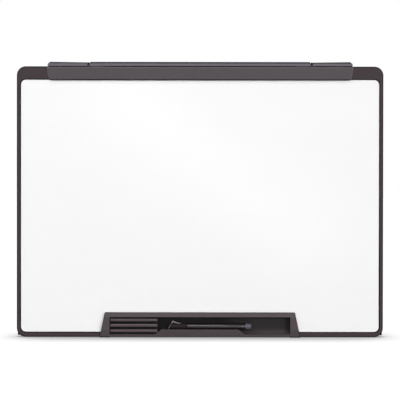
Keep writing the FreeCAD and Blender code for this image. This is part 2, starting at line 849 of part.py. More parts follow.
def make_hanger_brackets():
    """The blocks in the top rail that carry the pivots, with their screws and washers."""
    bracket = Piece("bracket_block")
    bracket.add("Z", rect(bracket_low_x, bracket_high_x, seat_y, cover_y), bracket_low, bracket_top)
    pivot = [(pivot_x, 0)]
    washer_top = strip_low - dim.washer_gap
    boss_top = washer_top - dim.washer_thick
    bracket.add_rods("Z", pivot, dim.bracket_boss_radius, bracket_low, boss_top)
    pivot_low = strip_low - dim.pivot_depth
    bracket.cut_rods("Z", pivot, dim.pivot_radius + dim.running_gap, pivot_low - dim.seat_gap, boss_top)
    bracket.cut_rods("Y", hanger_screw_spots, screw_hole, screw_tip_y - dim.seat_gap, cover_y)
    # the boss stays inside the rail's depth
    boss_reach = dim.bracket_boss_radius + dim.overrun
    for low_y, high_y in ((-boss_reach, seat_y), (cover_y, boss_reach)):
        outside = rect(pivot_x - boss_reach, pivot_x + boss_reach, low_y, high_y)
        bracket.cut("Z", outside, bracket_low, boss_top)
    keep_mirrored(bracket, "hanger_bracket_right", "hanger_bracket_left")

    head_low = strip_top - dim.pivot_head_sink - dim.pivot_head_thick
    head_top = strip_top - dim.pivot_head_sink
    pivots = []
    washers = []
    for side, x in (("right", pivot_x), ("left", -pivot_x)):
        pin = doc.addObject("Part::MultiFuse", f"pivot_{side}")
        shank = rod(f"pivot_shank_{side}", "Z", (x, 0), dim.pivot_radius, pivot_low, head_low)
        head = rod(f"pivot_head_{side}", "Z", (x, 0), dim.pivot_head_radius, head_low, head_top)
        pin.Shapes = [shank, head]
        pivots.append(pin)
        washer = doc.addObject("Part::Cut", f"washer_{side}")
        washer.Base = rod(f"washer_disc_{side}", "Z", (x, 0), dim.washer_radius, boss_top, washer_top)
        bore = dim.pivot_radius + dim.running_gap
        washer.Tool = rod(f"washer_bore_{side}", "Z", (x, 0), bore, boss_top, washer_top)
        washers.append(washer)
    keep_group(pivots, "hanger_pivots")
    keep_group(washers, "hanger_washers")


def make_handle():
    """The carry handle: the middle strip on two legs, each with a flange that stops the lift."""
    handle = Piece("handle_strip")
    inner = arm_inner - dim.strip_end_gap
    outer = inner + dim.slant_run
    handle.add("X", strip_section(), -outer, outer)
    for sign in (1, -1):
        beyond = outer + dim.overrun
        slant = [
            (sign * outer, bar_front),
            (sign * beyond, bar_front),
            (sign * beyond, back_y),
            (sign * inner, back_y),
            (sign * inner, bar_front + dim.slant_depth),
        ]
        handle.cut("Z", slant, strip_low, strip_top)
        for width, low, high in (
            (dim.leg_width, leg_low, strip_low + dim.strip_thick / 2),
            (dim.flange_width, leg_low, flange_top),
        ):
            low_x = leg_x - width / 2
            high_x = leg_x + width / 2
            reach = dim.leg_thick / 2
            handle.add("Z", rect(sign * low_x, sign * high_x, leg_y - reach, leg_y + reach), low, high)
    grip_half = leg_x - dim.leg_width / 2 - dim.grip_end_gap
    grip = rect(-grip_half, grip_half, -dim.grip_width / 2, dim.grip_width / 2)
    grip_top = strip_low + dim.grip_thick
    handle.cut("Z", grip, strip_low, grip_top)
    keep(handle.body, "handle")

    pad = Piece("grip_pad")
    pad.add("Z", grip, strip_low, grip_top)
    keep(pad.body, "handle_grip_pad")


def make_handle_guides():
    """The sleeves behind the top rail that the handle's legs run in."""
    guide = Piece("guide_block")
    outline = rect(guide_low_x, guide_high_x, guide_front, guide_back)
    guide.add("Z", outline, guide_low, cover_top)
    reach = dim.leg_thick / 2 + dim.leg_gap
    for width, low, high in (
        (dim.flange_width, guide_low + dim.guide_floor, collar_low),
        (dim.leg_width, collar_low - dim.overrun, cover_top),
    ):
        side = width / 2 + dim.leg_gap
        opening = rect(leg_x - side, leg_x + side, leg_y - reach, leg_y + reach)
        guide.cut("Z", opening, low, high)
    guide.cut_rods("Y", guide_screw_spots, screw_hole, screw_tip_y - dim.seat_gap, guide_back)
    keep_mirrored(guide, "handle_guide_right", "handle_guide_left")


def make_tray():
    """The tray: a trapezoid face with a skirt, a pocket behind it, and a shelf with a raised lip."""
    tray = Piece("tray_shell")
    bottom_half = tray_top_half + dim.tray_slope_run
    outline = [
        (-bottom_half, 0),
        (bottom_half, 0),
        (tray_top_half, dim.tray_height),
        (-tray_top_half, dim.tray_height),
    ]
    tray.add("Y", outline, tray_front, seat_y)
    tray.round_off(dim.tray_corner_round, every(along("Y"), at("Z", dim.tray_height)))
    tray.round_off(dim.tray_edge_round, at("Y", tray_front))
    # the skirt rests on the sheet, and on the frame's lip along the bottom
    lip_clear = dim.bottom_rail + dim.seat_gap
    tray.cut("Y", rect(-half_width, half_width, -dim.overrun, lip_clear), front_y, seat_y)
    face_back = tray_front + dim.tray_face_thick
    thick = dim.tray_face_thick
    hollow = [
        (thick - bottom_half, thick),
        (bottom_half - thick, thick),
        (tray_top_half - thick, dim.tray_height - thick),
        (thick - tray_top_half, dim.tray_height - thick),
    ]
    tray.cut("Y", hollow, face_back, seat_y)
    box = rect(-tray_box_half, tray_box_half, tray_box_low, tray_box_top)
    tray.add("Y", box, face_back - dim.tray_face_thick / 2, tray_back)
    pocket = rect(-pocket_half, pocket_half, pocket_floor, dim.pocket_top)
    tray.cut("Y", pocket, tray_front, pocket_back)
    tray.cut("Y", rect(-pocket_half, pocket_half, 0, dim.tray_bottom_lift), tray_front, front_y)
    lip = [
        (-lip_base_half, pocket_floor),
        (lip_base_half, pocket_floor),
        (lip_half, lip_top),
        (-lip_half, lip_top),
    ]
    tray.add("Y", lip, tray_front, lip_back)
    shelf = rect(-lip_half, lip_half, pocket_floor, shelf_top)
    tray.add("Y", shelf, lip_back, pocket_back)
    pocket_edges = every(
        at("Y", tray_front),
        within("X", -pocket_half, pocket_half),
        within("Z", pocket_floor, dim.pocket_top),
    )
    tray.round_off(dim.pocket_edge_round, pocket_edges)
    spots = both_sides(tray_screw_spots)
    tray.add_rods("Y", spots, dim.tray_boss_radius, pocket_back + dim.tray_wall / 2, cover_y)
    tray.cut_rods("Y", spots, screw_hole, tray_back - dim.seat_gap, cover_y)
    keep(tray.body, "tray")


def make_eraser():
    """The eraser: a grip with three rounded ribs and a felt block behind it."""
    low_x = dim.seat_gap - pocket_half
    high_x = -lip_half - dim.eraser_end_gap
    low_z = pocket_floor + dim.seat_gap
    top_z = dim.pocket_top - dim.seat_gap
    rib_front = tray_front + dim.eraser_front
    grip_front = rib_front + dim.eraser_rib_thick
    felt_back = pocket_back - dim.seat_gap
    felt_front = felt_back - dim.felt_thick
    grip = Piece("grip_block")
    grip.add("Y", rect(low_x, high_x, low_z, top_z), grip_front, felt_front)
    middle = (low_z + top_z) / 2
    for step in (-1, 0, 1):
        centre = middle + dim.eraser_rib_pitch * step
        low = centre - dim.eraser_rib_width / 2
        high = centre + dim.eraser_rib_width / 2
        grip.add("Y", rect(low_x, high_x, low, high), rib_front, grip_front)
    grip.round_off(dim.eraser_rib_round, at("Y", rib_front))
    # the lower corner follows the slope of the tray's lip, so that the eraser comes straight out
    corner_x = -lip_base_half - dim.seat_gap
    corner_end = -lip_half - dim.seat_gap
    corner = [(corner_x, pocket_floor), (corner_end, pocket_floor), (corner_end, lip_top)]
    grip.cut("Y", corner, rib_front, felt_front)
    keep(grip.body, "eraser_grip")

    felt = Piece("felt_block")
    inset = dim.felt_inset
    felt.add("Y", rect(low_x + inset, corner_x - inset, low_z + inset, top_z - inset), felt_front, felt_back)
    keep(felt.body, "eraser_felt")


def make_marker():
    """The marker on the tray's shelf: barrel, end plug, nib, ink reservoir and a cap with a fin."""
    axis_y = tray_front + dim.marker_inset
    axis_z = shelf_top + dim.seat_gap + dim.cap_radius
    axis = [(axis_y, axis_z)]
    cap_start = dim.marker_start - pocket_half
    cap_end = cap_start + dim.cap_length
    barrel_start = cap_end + dim.cap_joint
    plug_end = cap_start + dim.marker_length
    plug_start = plug_end - dim.plug_length
    neck_start = barrel_start - dim.neck_length
    neck_radius = dim.cap_radius - dim.cap_wall - dim.cap_clear
    bore_radius = dim.barrel_radius - dim.barrel_wall
    nib_end = neck_start + dim.nib_seat

    barrel = Piece("barrel_tube")
    barrel.add_rods("X", axis, dim.barrel_radius, barrel_start, plug_start)
    barrel.add_rods("X", axis, neck_radius, neck_start, barrel_start)
    barrel.cut_rods("X", axis, bore_radius, nib_end, plug_start)
    barrel.cut_rods("X", axis, dim.nib_radius, neck_start, nib_end)
    keep(barrel.body, "marker_barrel")

    nib = Piece("nib_rod")
    nib.add_rods("X", axis, dim.nib_radius, neck_start - dim.nib_reach, nib_end)
    keep(nib.body, "marker_nib")

    reservoir = Piece("reservoir_rod")
    spigot_start = plug_start - dim.plug_spigot
    reservoir.add_rods("X", axis, dim.reservoir_radius, nib_end, spigot_start - dim.reservoir_end_gap)
    keep(reservoir.body, "marker_reservoir")

    plug = Piece("plug_block")
    plug.add_rods("X", axis, dim.cap_radius, plug_start, plug_end)
    plug.add_rods("X", axis, bore_radius, spigot_start, plug_start)
    keep(plug.body, "marker_plug")

    cap = Piece("cap_tube")
    cap.add_rods("X", axis, dim.cap_radius, cap_start, cap_end)
    fin_half = dim.fin_thick / 2
    peak = (cap_start + dim.fin_peak_run, axis_z + dim.fin_peak_rise)
    fin = [
        (cap_start, axis_z),
        (cap_start + dim.fin_end_run, axis_z),
        (cap_start + dim.fin_end_run, axis_z + dim.cap_radius - dim.cap_wall / 2),
        (cap_start + dim.fin_waist_run, axis_z + dim.fin_waist_rise),
        peak,
    ]
    cap.add("Y", fin, axis_y - fin_half, axis_y + fin_half)
    # the end of the cap slopes up from its foot to the fin's peak
    slope = [
        (cap_start, axis_z - dim.cap_radius),
        peak,
        (cap_start - dim.overrun, axis_z + dim.fin_peak_rise),
        (cap_start - dim.overrun, axis_z - dim.cap_radius),
    ]
    reach = dim.cap_radius + dim.overrun
    cap.cut("Y", slope, axis_y - reach, axis_y + reach)
    cap.cut_rods("X", axis, neck_radius + dim.cap_clear, neck_start - dim.cap_joint, cap_end)
    nib_room = dim.nib_radius + dim.seat_gap
    cap.cut_rods("X", axis, nib_room, neck_start - dim.nib_reach - dim.cap_joint, cap_end)
    keep(cap.body, "marker_cap")


def make_feet():
    """The folding feet, their hinge brackets and pins, and the plates that the brackets clamp to."""
    base_reach = dim.foot_base_width / 2
    axis = [(foot_x, foot_axis_y)]
    pin_hole = dim.hinge_pin_radius + dim.running_gap
    lower_start = dim.foot_base_low + dim.knuckle_inset
    lower_end = lower_start + dim.knuckle_length
    upper_end = foot_base_top - dim.knuckle_inset
    upper_start = upper_end - dim.knuckle_length
    bracket = Piece("foot_bracket_plate")
    bracket.add(
        "Y",
        rect(foot_x - base_reach, foot_x + base_reach, dim.foot_base_low, foot_base_top),
        back_y,
        foot_base_back,
    )
    for low, high in ((lower_start, lower_end), (upper_start, upper_end)):
        web = rect(
            foot_x - dim.knuckle_radius,
            foot_x + dim.knuckle_radius,
            foot_base_back - dim.foot_base_thick / 2,
            foot_axis_y,
        )
        bracket.add("Z", web, low, high)
        bracket.add_rods("Z", axis, dim.knuckle_radius, low, high)
    bracket.cut_rods("Z", axis, pin_hole, lower_start, upper_end)
    bracket.cut_rods("Y", foot_screw_spots, screw_hole, back_y, foot_base_back)
    keep_mirrored(bracket, "foot_bracket_right", "foot_bracket_left")

    barrel_low = lower_end + dim.knuckle_gap
    barrel_top = upper_start - dim.knuckle_gap
    toe = foot_axis_y + dim.foot_length
    side = dim.foot_thick / 2
    foot = Piece("foot_gusset")
    profile = [
        (foot_axis_y, barrel_low),
        (foot_axis_y + dim.foot_root_run, barrel_low),
        (foot_axis_y + dim.foot_heel_run, dim.foot_pad_thick),
        (toe, dim.foot_pad_thick),
        (toe, dim.foot_pad_thick + dim.foot_toe_height),
        (foot_axis_y + dim.foot_crest_run, barrel_top),
        (foot_axis_y, barrel_top),
    ]
    foot.add("X", profile, foot_x - side, foot_x + side)
    crest = every(along("X"), at("Y", foot_axis_y + dim.foot_crest_run))
    foot.round_off(dim.foot_crest_round, crest)
    toe_edges = every(along("Z"), at("Y", toe))
    foot.round_off(dim.foot_edge_round, toe_edges)
    # a recess in each face leaves a thin web inside a rim
    recess_front = foot_axis_y + dim.foot_crest_run
    recess_end = toe - dim.foot_recess_end
    recess_low = dim.foot_pad_thick + dim.foot_recess_low
    recess_toe = dim.foot_pad_thick + dim.foot_toe_height + dim.foot_recess_rise
    recess = [
        (recess_front, recess_low),
        (recess_end, recess_low),
        (recess_end, recess_toe),
        (recess_front, barrel_top - dim.foot_recess_drop),
    ]
    web_side = dim.foot_web_thick / 2
    foot.cut("X", recess, foot_x - side, foot_x - web_side)
    foot.cut("X", recess, foot_x + web_side, foot_x + side)
    foot.add_rods("Z", axis, dim.knuckle_radius, barrel_low, barrel_top)
    foot.cut_rods("Z", axis, pin_hole, barrel_low, barrel_top)
    keep_mirrored(foot, "foot_right", "foot_left")

    pad = Piece("toe_pad")
    pad_start = toe - dim.foot_pad_length
    pad.add("Z", rect(foot_x - side, foot_x + side, pad_start, toe), 0, dim.foot_pad_thick)
    pad.round_off(dim.foot_edge_round, toe_edges)
    keep_mirrored(pad, "foot_pad_right", "foot_pad_left")

    pins = []
    plates = []
    for name, sign in (("right", 1), ("left", -1)):
        x = sign * foot_x
        pin_axis = (x, foot_axis_y)
        pins.append(rod(f"hinge_pin_{name}", "Z", pin_axis, dim.hinge_pin_radius, lower_start, upper_end))
        plate = Piece(f"backing_{name}")
        reach = dim.backing_plate_width / 2
        plate.add(
            "Y",
            rect(x - reach, x + reach, dim.foot_base_low + dim.knuckle_length, foot_base_top),
            plate_front,
            cover_y,
        )
        holes = [(sign * hole_x, level) for hole_x, level in foot_screw_spots]
        plate.cut_rods("Y", holes, screw_hole, plate_front, cover_y)
        plates.append(plate.body)
    keep_group(pins, "foot_hinge_pins")
    keep_group(plates, "foot_backing_plates")


def make_screws():
    """Every screw, in groups by what it holds."""
    head = dim.screw_head_radius
    thick = dim.screw_head_thick
    screws("cover_screws", cover_spots, head, thick, back_y, screw_tip_y)
    screws("hanger_bracket_screws", both_sides(hanger_screw_spots), head, thick, back_y, screw_tip_y)
    screws("guide_screws", both_sides(guide_screw_spots), head, thick, back_y, screw_tip_y)
    screws("tray_screws", both_sides(tray_screw_spots), head, thick, back_y, tray_back)
    bar_tip = front_y - dim.bar_screw_bite
    screws("bar_screws", bar_boss_spots, dim.bar_screw_head_radius, thick, seat_y, bar_tip)
    foot_tip = foot_base_back - dim.foot_screw_depth
    foot_head = dim.foot_screw_head_radius
    foot_thick = dim.foot_screw_head_thick
    screws("foot_screws", both_sides(foot_screw_spots), foot_head, foot_thick, foot_base_back, foot_tip)


make_frame()
make_writing_surface()
make_core()
make_rear_cover()
make_top_bar()
make_hanger_arms()
make_hanger_hooks()
make_hanger_brackets()
make_handle()
make_handle_guides()
make_tray()
make_eraser()
make_marker()
make_feet()
make_screws()
doc.recompute()

for thing in doc.Objects:
    if "Invalid" in thing.State or "Error" in thing.State:
        raise ValueError(f"{thing.Label} failed: {thing.State}")
for thing in sub_parts:
    if thing.Shape.isNull() or not thing.Shape.isValid():
        raise ValueError(f"{thing.Label} has no sound shape")

os.makedirs("parts", exist_ok=True)
for thing in sub_parts:
    thing.Shape.exportStep(f"parts/{thing.Label}.step")
    print(f"{thing.Label}: {len(thing.Shape.Solids)} solid(s), {thing.Shape.Volume:.0f} cubic mm")
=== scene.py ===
# %% [markdown]
# # A portable whiteboard
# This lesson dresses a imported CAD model: a framed steel sheet with a top bar, a tray, an eraser
# and a marker. The CAD solids already have the right shape and place, so most of the work is in
# finishes, and new meshes are made only where a solid is too plain for what the real piece shows.

# %% Load the frame
import math

import bmesh
import bpy
from mathutils import Matrix, Vector


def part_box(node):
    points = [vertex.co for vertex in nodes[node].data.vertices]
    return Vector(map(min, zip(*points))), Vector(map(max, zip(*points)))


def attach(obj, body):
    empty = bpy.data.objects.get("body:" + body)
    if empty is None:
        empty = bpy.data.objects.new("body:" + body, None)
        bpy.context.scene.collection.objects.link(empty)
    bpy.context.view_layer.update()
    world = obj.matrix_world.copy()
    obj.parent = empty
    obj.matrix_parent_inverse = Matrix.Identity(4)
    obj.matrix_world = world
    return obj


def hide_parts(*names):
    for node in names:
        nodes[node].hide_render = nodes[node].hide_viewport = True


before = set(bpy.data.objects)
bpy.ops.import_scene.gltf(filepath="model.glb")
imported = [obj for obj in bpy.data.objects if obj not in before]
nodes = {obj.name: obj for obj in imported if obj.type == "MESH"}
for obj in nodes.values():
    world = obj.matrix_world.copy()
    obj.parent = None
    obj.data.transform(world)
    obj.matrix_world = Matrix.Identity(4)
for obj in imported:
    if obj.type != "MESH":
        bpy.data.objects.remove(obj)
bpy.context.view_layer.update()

MM = 0.001
scene = bpy.context.scene

# %% [markdown]
# ## Camera
# A board this flat is photographed square on from a few metres away, at the height of its middle.
# The camera could be set by eye, but here the frame's width in the picture gives the scale, and the
# lens follows from the scale and the distance. The picture leans a little, so the camera is rolled
# by the same small angle, and it looks down by half a degree.

# %% Camera
IMAGE_SIDE_PX = 400
BOARD_PX = 366.6
BOTTOM_PX = 337.2
CENTRE_PX = 200.0
CAMERA_DISTANCE = 2.4
SENSOR_MM = 36
LEVEL_DEGREES = 90
ROLL_DEGREES = 0.07
PITCH_DEGREES = 0.5

frame_low, frame_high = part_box("frame")
metres_per_px = (frame_high.x - frame_low.x) / BOARD_PX
view_width = IMAGE_SIDE_PX * metres_per_px
camera_x = (IMAGE_SIDE_PX / 2 - CENTRE_PX) * metres_per_px
camera_z = (BOTTOM_PX - IMAGE_SIDE_PX / 2) * metres_per_px
lens = bpy.data.cameras.new("lens")
lens.sensor_width = SENSOR_MM
lens.lens = SENSOR_MM * CAMERA_DISTANCE / view_width
camera = bpy.data.objects.new("camera", lens)
rise = CAMERA_DISTANCE * math.tan(math.radians(PITCH_DEGREES))
camera.location = (camera_x, frame_low.y - CAMERA_DISTANCE, camera_z + rise)
camera.rotation_euler = (math.radians(LEVEL_DEGREES - PITCH_DEGREES), math.radians(-ROLL_DEGREES), 0)
scene.collection.objects.link(camera)
scene.camera = camera
print("view", round(view_width, 3), "m wide, lens", round(lens.lens, 1), "mm")

# %% [markdown]
# ## Lamps
# The board is lit for a catalogue picture, softly and mostly from the front. A lamp from the right
# gives the raised pieces a lit and a shaded end. A long strip high in front draws a line along round
# pieces, as a row of ceiling tubes does, and stands to the left, so that the sheet falls off to the
# right. A tilted strip behind the camera shows in the writing surface as a soft slanting sheen. The
# strips could be glowing meshes, but area lamps give the same reflections with less noise.

# %% Lamps
KEY_POWER = 0.8
KEY_SPREAD_DEGREES = 10
KEY_WAY = (2.0, -4.8, 0.6)
SHEEN_POWER = 2.1
SHEEN_LENGTH, SHEEN_DEPTH = 1.25, 0.16
SHEEN_PLACE = (0.08, -3.3, 0.32)
SHEEN_TILT_DEGREES = -34
HIGH_POWER = 20
HIGH_LENGTH, HIGH_DEPTH = 2.0, 0.3
HIGH_PLACE = (-0.7, -2.2, 2.3)
HIGH_FALL_DEGREES = 45

key_light = bpy.data.lights.new("key", "SUN")
key_light.energy = KEY_POWER
key_light.angle = math.radians(KEY_SPREAD_DEGREES)
key = bpy.data.objects.new("key", key_light)
key.location = KEY_WAY
key.rotation_euler = Vector(KEY_WAY).to_track_quat("Z", "Y").to_euler()
scene.collection.objects.link(key)
print("key", KEY_POWER, "W for each square metre")


def strip_lamp(name, place, length, depth, power, fall_degrees=0, tilt_degrees=0):
    """A long lamp that shines to the back, turned down by an angle and tilted about its line of sight."""
    panel = bpy.data.lights.new(name, "AREA")
    panel.shape = "RECTANGLE"
    panel.size = length
    panel.size_y = depth
    panel.energy = power
    lamp = bpy.data.objects.new(name, panel)
    lamp.location = place
    lamp.rotation_euler = (math.radians(LEVEL_DEGREES - fall_degrees), 0, 0)
    lamp.rotation_euler.rotate_axis("Z", math.radians(tilt_degrees))
    scene.collection.objects.link(lamp)
    print(name, power, "W")


strip_lamp(
    "sheen strip", SHEEN_PLACE, SHEEN_LENGTH, SHEEN_DEPTH, SHEEN_POWER, tilt_degrees=SHEEN_TILT_DEGREES
)
strip_lamp("high strip", HIGH_PLACE, HIGH_LENGTH, HIGH_DEPTH, HIGH_POWER, fall_degrees=HIGH_FALL_DEGREES)

# %% [markdown]
# ## Colours and nodes
# Colours are written as sRGB hex, as a picture editor shows them, and turned to the linear values
# that the shaders work in. One helper adds any node: its inputs are numbers, colours or the output
# of another node, and its settings are the node's own switches. Nodes could be wired by hand in the
# shader editor, but a script makes the same tree every time.

# %% Colours and nodes
def linear(hex_colour):
    """An sRGB hex colour as linear red, green, blue and full alpha, by the sRGB curve."""
    shown = [int(hex_colour[start:start + 2], 16) / 255 for start in (0, 2, 4)]
    light = [c / 12.92 if c <= 0.04045 else ((c + 0.055) / 1.055) ** 2.4 for c in shown]
    return (*light, 1.0)


def add_node(tree, kind, inputs, **settings):
    """Adds one node with its settings and links, and returns it."""
    node = tree.nodes.new(kind)
    for name, value in settings.items():
        setattr(node, name, value)
    for socket, value in inputs.items():
        if isinstance(value, bpy.types.NodeSocket):
            tree.links.new(value, node.inputs[socket])
        else:
            node.inputs[socket].default_value = value
    return node


WHITE = linear("ffffff")
print("a grey of 808080 is", round(linear("808080")[0], 3), "of the light")

# %% [markdown]
# ## Light tent
# The board stands in a white tent. Its front glows, so the upright faces are lit evenly and nothing
# on them throws a hard shadow, while faces that turn away fall off. Its back glows more softly, so
# the rear of the board can be looked at too. The camera, glossy pieces and clear ones see plain white
# round about. Big lamps would do as well, but a glow that depends on the direction is smoother.

# %% Light tent
FRONT_GLOW = 7.15
FRONT_FOCUS = 12
SIDE_GLOW = 0.1
BACK_GLOW = 1.4
SIDEWAYS, FRONTWARD = 0.0, -1.0


def seen_rays(tree):
    """1 for rays from the camera, a mirror or glass, which see plain white, and 0 for rays that light."""
    ray = add_node(tree, "ShaderNodeLightPath", {})
    kinds = {0: ray.outputs["Is Camera Ray"], 1: ray.outputs["Is Glossy Ray"]}
    either = add_node(tree, "ShaderNodeMath", kinds, operation="MAXIMUM").outputs[0]
    kinds = {0: either, 1: ray.outputs["Is Transmission Ray"]}
    return add_node(tree, "ShaderNodeMath", kinds, operation="MAXIMUM").outputs[0]


world = bpy.data.worlds.new("light tent")
world.use_nodes = True
scene.world = world
sky = world.node_tree
sky.nodes.clear()
way = add_node(sky, "ShaderNodeTexCoord", {}).outputs["Generated"]
depth_way = add_node(sky, "ShaderNodeSeparateXYZ", {"Vector": way}).outputs["Y"]
facing = add_node(
    sky, "ShaderNodeMapRange", {"Value": depth_way, "From Min": SIDEWAYS, "From Max": FRONTWARD}
)
focus = add_node(sky, "ShaderNodeMath", {0: facing.outputs[0], 1: FRONT_FOCUS}, operation="POWER")
lit = add_node(
    sky, "ShaderNodeMath", {0: focus.outputs[0], 1: FRONT_GLOW, 2: SIDE_GLOW}, operation="MULTIPLY_ADD"
)
behind = add_node(sky, "ShaderNodeMapRange", {"Value": depth_way, "To Max": BACK_GLOW})
both = add_node(sky, "ShaderNodeMath", {0: lit.outputs[0], 1: behind.outputs[0]})
# A mix of plain numbers has them at inputs 2 and 3.
level = add_node(sky, "ShaderNodeMix", {0: seen_rays(sky), 2: both.outputs[0], 3: 1.0})
tent = add_node(sky, "ShaderNodeBackground", {"Color": WHITE, "Strength": level.outputs[0]})
add_node(sky, "ShaderNodeOutputWorld", {"Surface": tent.outputs[0]})
scene.view_settings.view_transform = "Standard"
print("tent glows", FRONT_GLOW, "at the front and", BACK_GLOW, "at the back")

# %% [markdown]
# ## Floor
# The floor is a sheet of white paper. Lamps strong enough to make it white would bleach the board, so
# to the camera it glows, and it darkens where something stands close over it, as a contact shadow
# does. Rays that carry light see a grey floor, so little light comes back up.

# %% Floor sheet
FLOOR_SIDE = 60

floor_mesh = bmesh.new()
bmesh.ops.create_grid(floor_mesh, x_segments=1, y_segments=1, size=FLOOR_SIDE / 2)
floor_data = bpy.data.meshes.new("floor")
floor_mesh.to_mesh(floor_data)
floor_mesh.free()
floor = bpy.data.objects.new("floor", floor_data)
scene.collection.objects.link(floor)
print("floor", FLOOR_SIDE, "m square")

# %% Floor paper
FLOOR_COLOUR = "767676"
FLOOR_GLOW = 0.95
CONTACT_REACH = 0.12
CONTACT_SAMPLES = 16
CONTACT_DARK = 0.28
CONTACT_FULL, CONTACT_NONE = 0.5, 0.97


def new_material(name):
    """A material with its tree, its shader and the object's own coordinates, in metres."""
    material = bpy.data.materials.new(name)
    material.use_nodes = True
    tree = material.node_tree
    shader = tree.nodes["Principled BSDF"]
    place = add_node(tree, "ShaderNodeTexCoord", {}).outputs["Object"]
    return material, tree, shader, place


# Paper is matt all over, so the eye sees only the shadow on it.
sweep, tree, shader, _ = new_material("white paper sweep")
close = add_node(
    tree, "ShaderNodeAmbientOcclusion", {"Distance": CONTACT_REACH}, samples=CONTACT_SAMPLES
)
shade = add_node(
    tree, "ShaderNodeMapRange",
    {
        "Value": close.outputs["AO"], "From Min": CONTACT_FULL, "From Max": CONTACT_NONE,
        "To Min": CONTACT_DARK, "To Max": 1.0,
    },
)
seen = add_node(tree, "ShaderNodeMath", {0: seen_rays(tree), 1: shade.outputs[0]}, operation="MULTIPLY")
glow = add_node(tree, "ShaderNodeMath", {0: seen.outputs[0], 1: FLOOR_GLOW}, operation="MULTIPLY")
tree.links.new(glow.outputs[0], shader.inputs["Emission Strength"])
shader.inputs["Base Color"].default_value = linear(FLOOR_COLOUR)
shader.inputs["Emission Color"].default_value = WHITE
shader.inputs["Roughness"].default_value = 1.0
shader.inputs["Specular IOR Level"].default_value = 0.0
floor_data.materials.append(sweep)
print(sweep.name, "glows", FLOOR_GLOW)

# %% [markdown]
# ## Patterns for finishes
# No real surface is quite even. The finishes mix the same few things: a cloudy pattern, a colour and
# a gloss that vary with it, and a bump. Scanned images would do too, but a pattern that is worked out
# has no seams and needs no file. It follows the object's own coordinates in metres, so its scale comes
# from a size in millimetres.

# %% Patterns for finishes
def mix_colours(tree, share, start, end):
    """A colour that goes from one to another with a share from 0 to 1."""
    # A mix node has its colours at inputs 6 and 7 and the mixed colour at output 2.
    mixed = add_node(tree, "ShaderNodeMix", {0: share, 6: start, 7: end}, data_type="RGBA")
    return mixed.outputs[2]


def noise(tree, place, size_mm, detail, **more):
    """A cloudy pattern from 0 to 1, whose features are of about this size."""
    inputs = {"Vector": place, "Scale": 1 / (size_mm * MM), "Detail": detail, **more}
    return add_node(tree, "ShaderNodeTexNoise", inputs).outputs["Fac"]


def spread(tree, value, low, high, **more):
    """A pattern from 0 to 1 as a value from low to high."""
    inputs = {"Value": value, "To Min": low, "To Max": high, **more}
    return add_node(tree, "ShaderNodeMapRange", inputs).outputs[0]


def bump(tree, height, depth_mm, strength):
    """Tilts the light as if a pattern were raised by a depth."""
    inputs = {"Height": height, "Distance": depth_mm * MM, "Strength": strength}
    return add_node(tree, "ShaderNodeBump", inputs).outputs[0]


print("a pattern of 1 mm has a scale of", round(1 / MM))

# %% [markdown]
# ## Moulded plastics
# The frame, bar, tray and feet are ABS, injection moulded against a spark-eroded steel tool.
# That gives an even, matt to satin skin with a fine grain, faint cloudy flow marks in the colour
# and a roughness that varies a little. The real grain is about 0.3 mm and can't show at this
# distance, so it is drawn coarser. All plastics share one recipe with their own colours.

# %% Recipe for moulded plastic
FLOW_MM = 70
FLOW_DETAIL, FLOW_ROUGHNESS = 4.0, 0.6
HANDLING_MM = 11
HANDLING_DETAIL = 3.0
HANDLING_LOW, HANDLING_HIGH = 0.3, 0.7
GLOSS_SPREAD = 0.06
GRAIN_DETAIL = 2.0
GRAIN_STRENGTH = 0.5
PLASTIC_IOR = 1.53
SATIN_SPECULAR = 0.1


def moulded_plastic(
    name, colour, flow_colour, roughness, grain_mm, grain_depth_mm, specular=SATIN_SPECULAR
):
    """A plastic with flow marks in its colour, patches rubbed smoother by hands, and a moulded grain."""
    material, tree, shader, place = new_material(name)
    flow = noise(tree, place, FLOW_MM, FLOW_DETAIL, Roughness=FLOW_ROUGHNESS)
    tint = mix_colours(tree, flow, linear(colour), linear(flow_colour))
    rubbed = noise(tree, place, HANDLING_MM, HANDLING_DETAIL)
    hands = {"From Min": HANDLING_LOW, "From Max": HANDLING_HIGH}
    gloss = spread(tree, rubbed, roughness - GLOSS_SPREAD, roughness + GLOSS_SPREAD, **hands)
    grain = noise(tree, place, grain_mm, GRAIN_DETAIL)
    skin = bump(tree, grain, grain_depth_mm, GRAIN_STRENGTH)
    tree.links.new(tint, shader.inputs["Base Color"])
    tree.links.new(gloss, shader.inputs["Roughness"])
    tree.links.new(skin, shader.inputs["Normal"])
    shader.inputs["IOR"].default_value = PLASTIC_IOR
    shader.inputs["Specular IOR Level"].default_value = specular
    print(name, "with a grain of", grain_mm, "mm")
    return material


print("flow marks of", FLOW_MM, "mm, marks of hands of", HANDLING_MM, "mm")

# %% [markdown]
# ## Tints on plastic
# A moulding here isn't one colour all over, because light and shade are painted into it. Its rounded
# edges are painted darker as shade beside a pale sheet, its recesses are painted dark as shade, and
# some free edges are painted pale as highlights. The edges could be painted by hand, but two masks do
# it by rule: one reads the way that a face looks, and one reads the place on the piece. Each mixes
# another colour into the finished plastic.

# %% Tints on plastic
def mix_in(material, mask, colour):
    """Mixes another colour into a finished plastic where a mask is 1."""
    tree = material.node_tree
    shader = tree.nodes["Principled BSDF"]
    before = shader.inputs["Base Color"].links[0].from_socket
    mixed = mix_colours(tree, mask, before, linear(colour))
    tree.links.new(mixed, shader.inputs["Base Color"])
    print(colour, "mixed into", material.name)


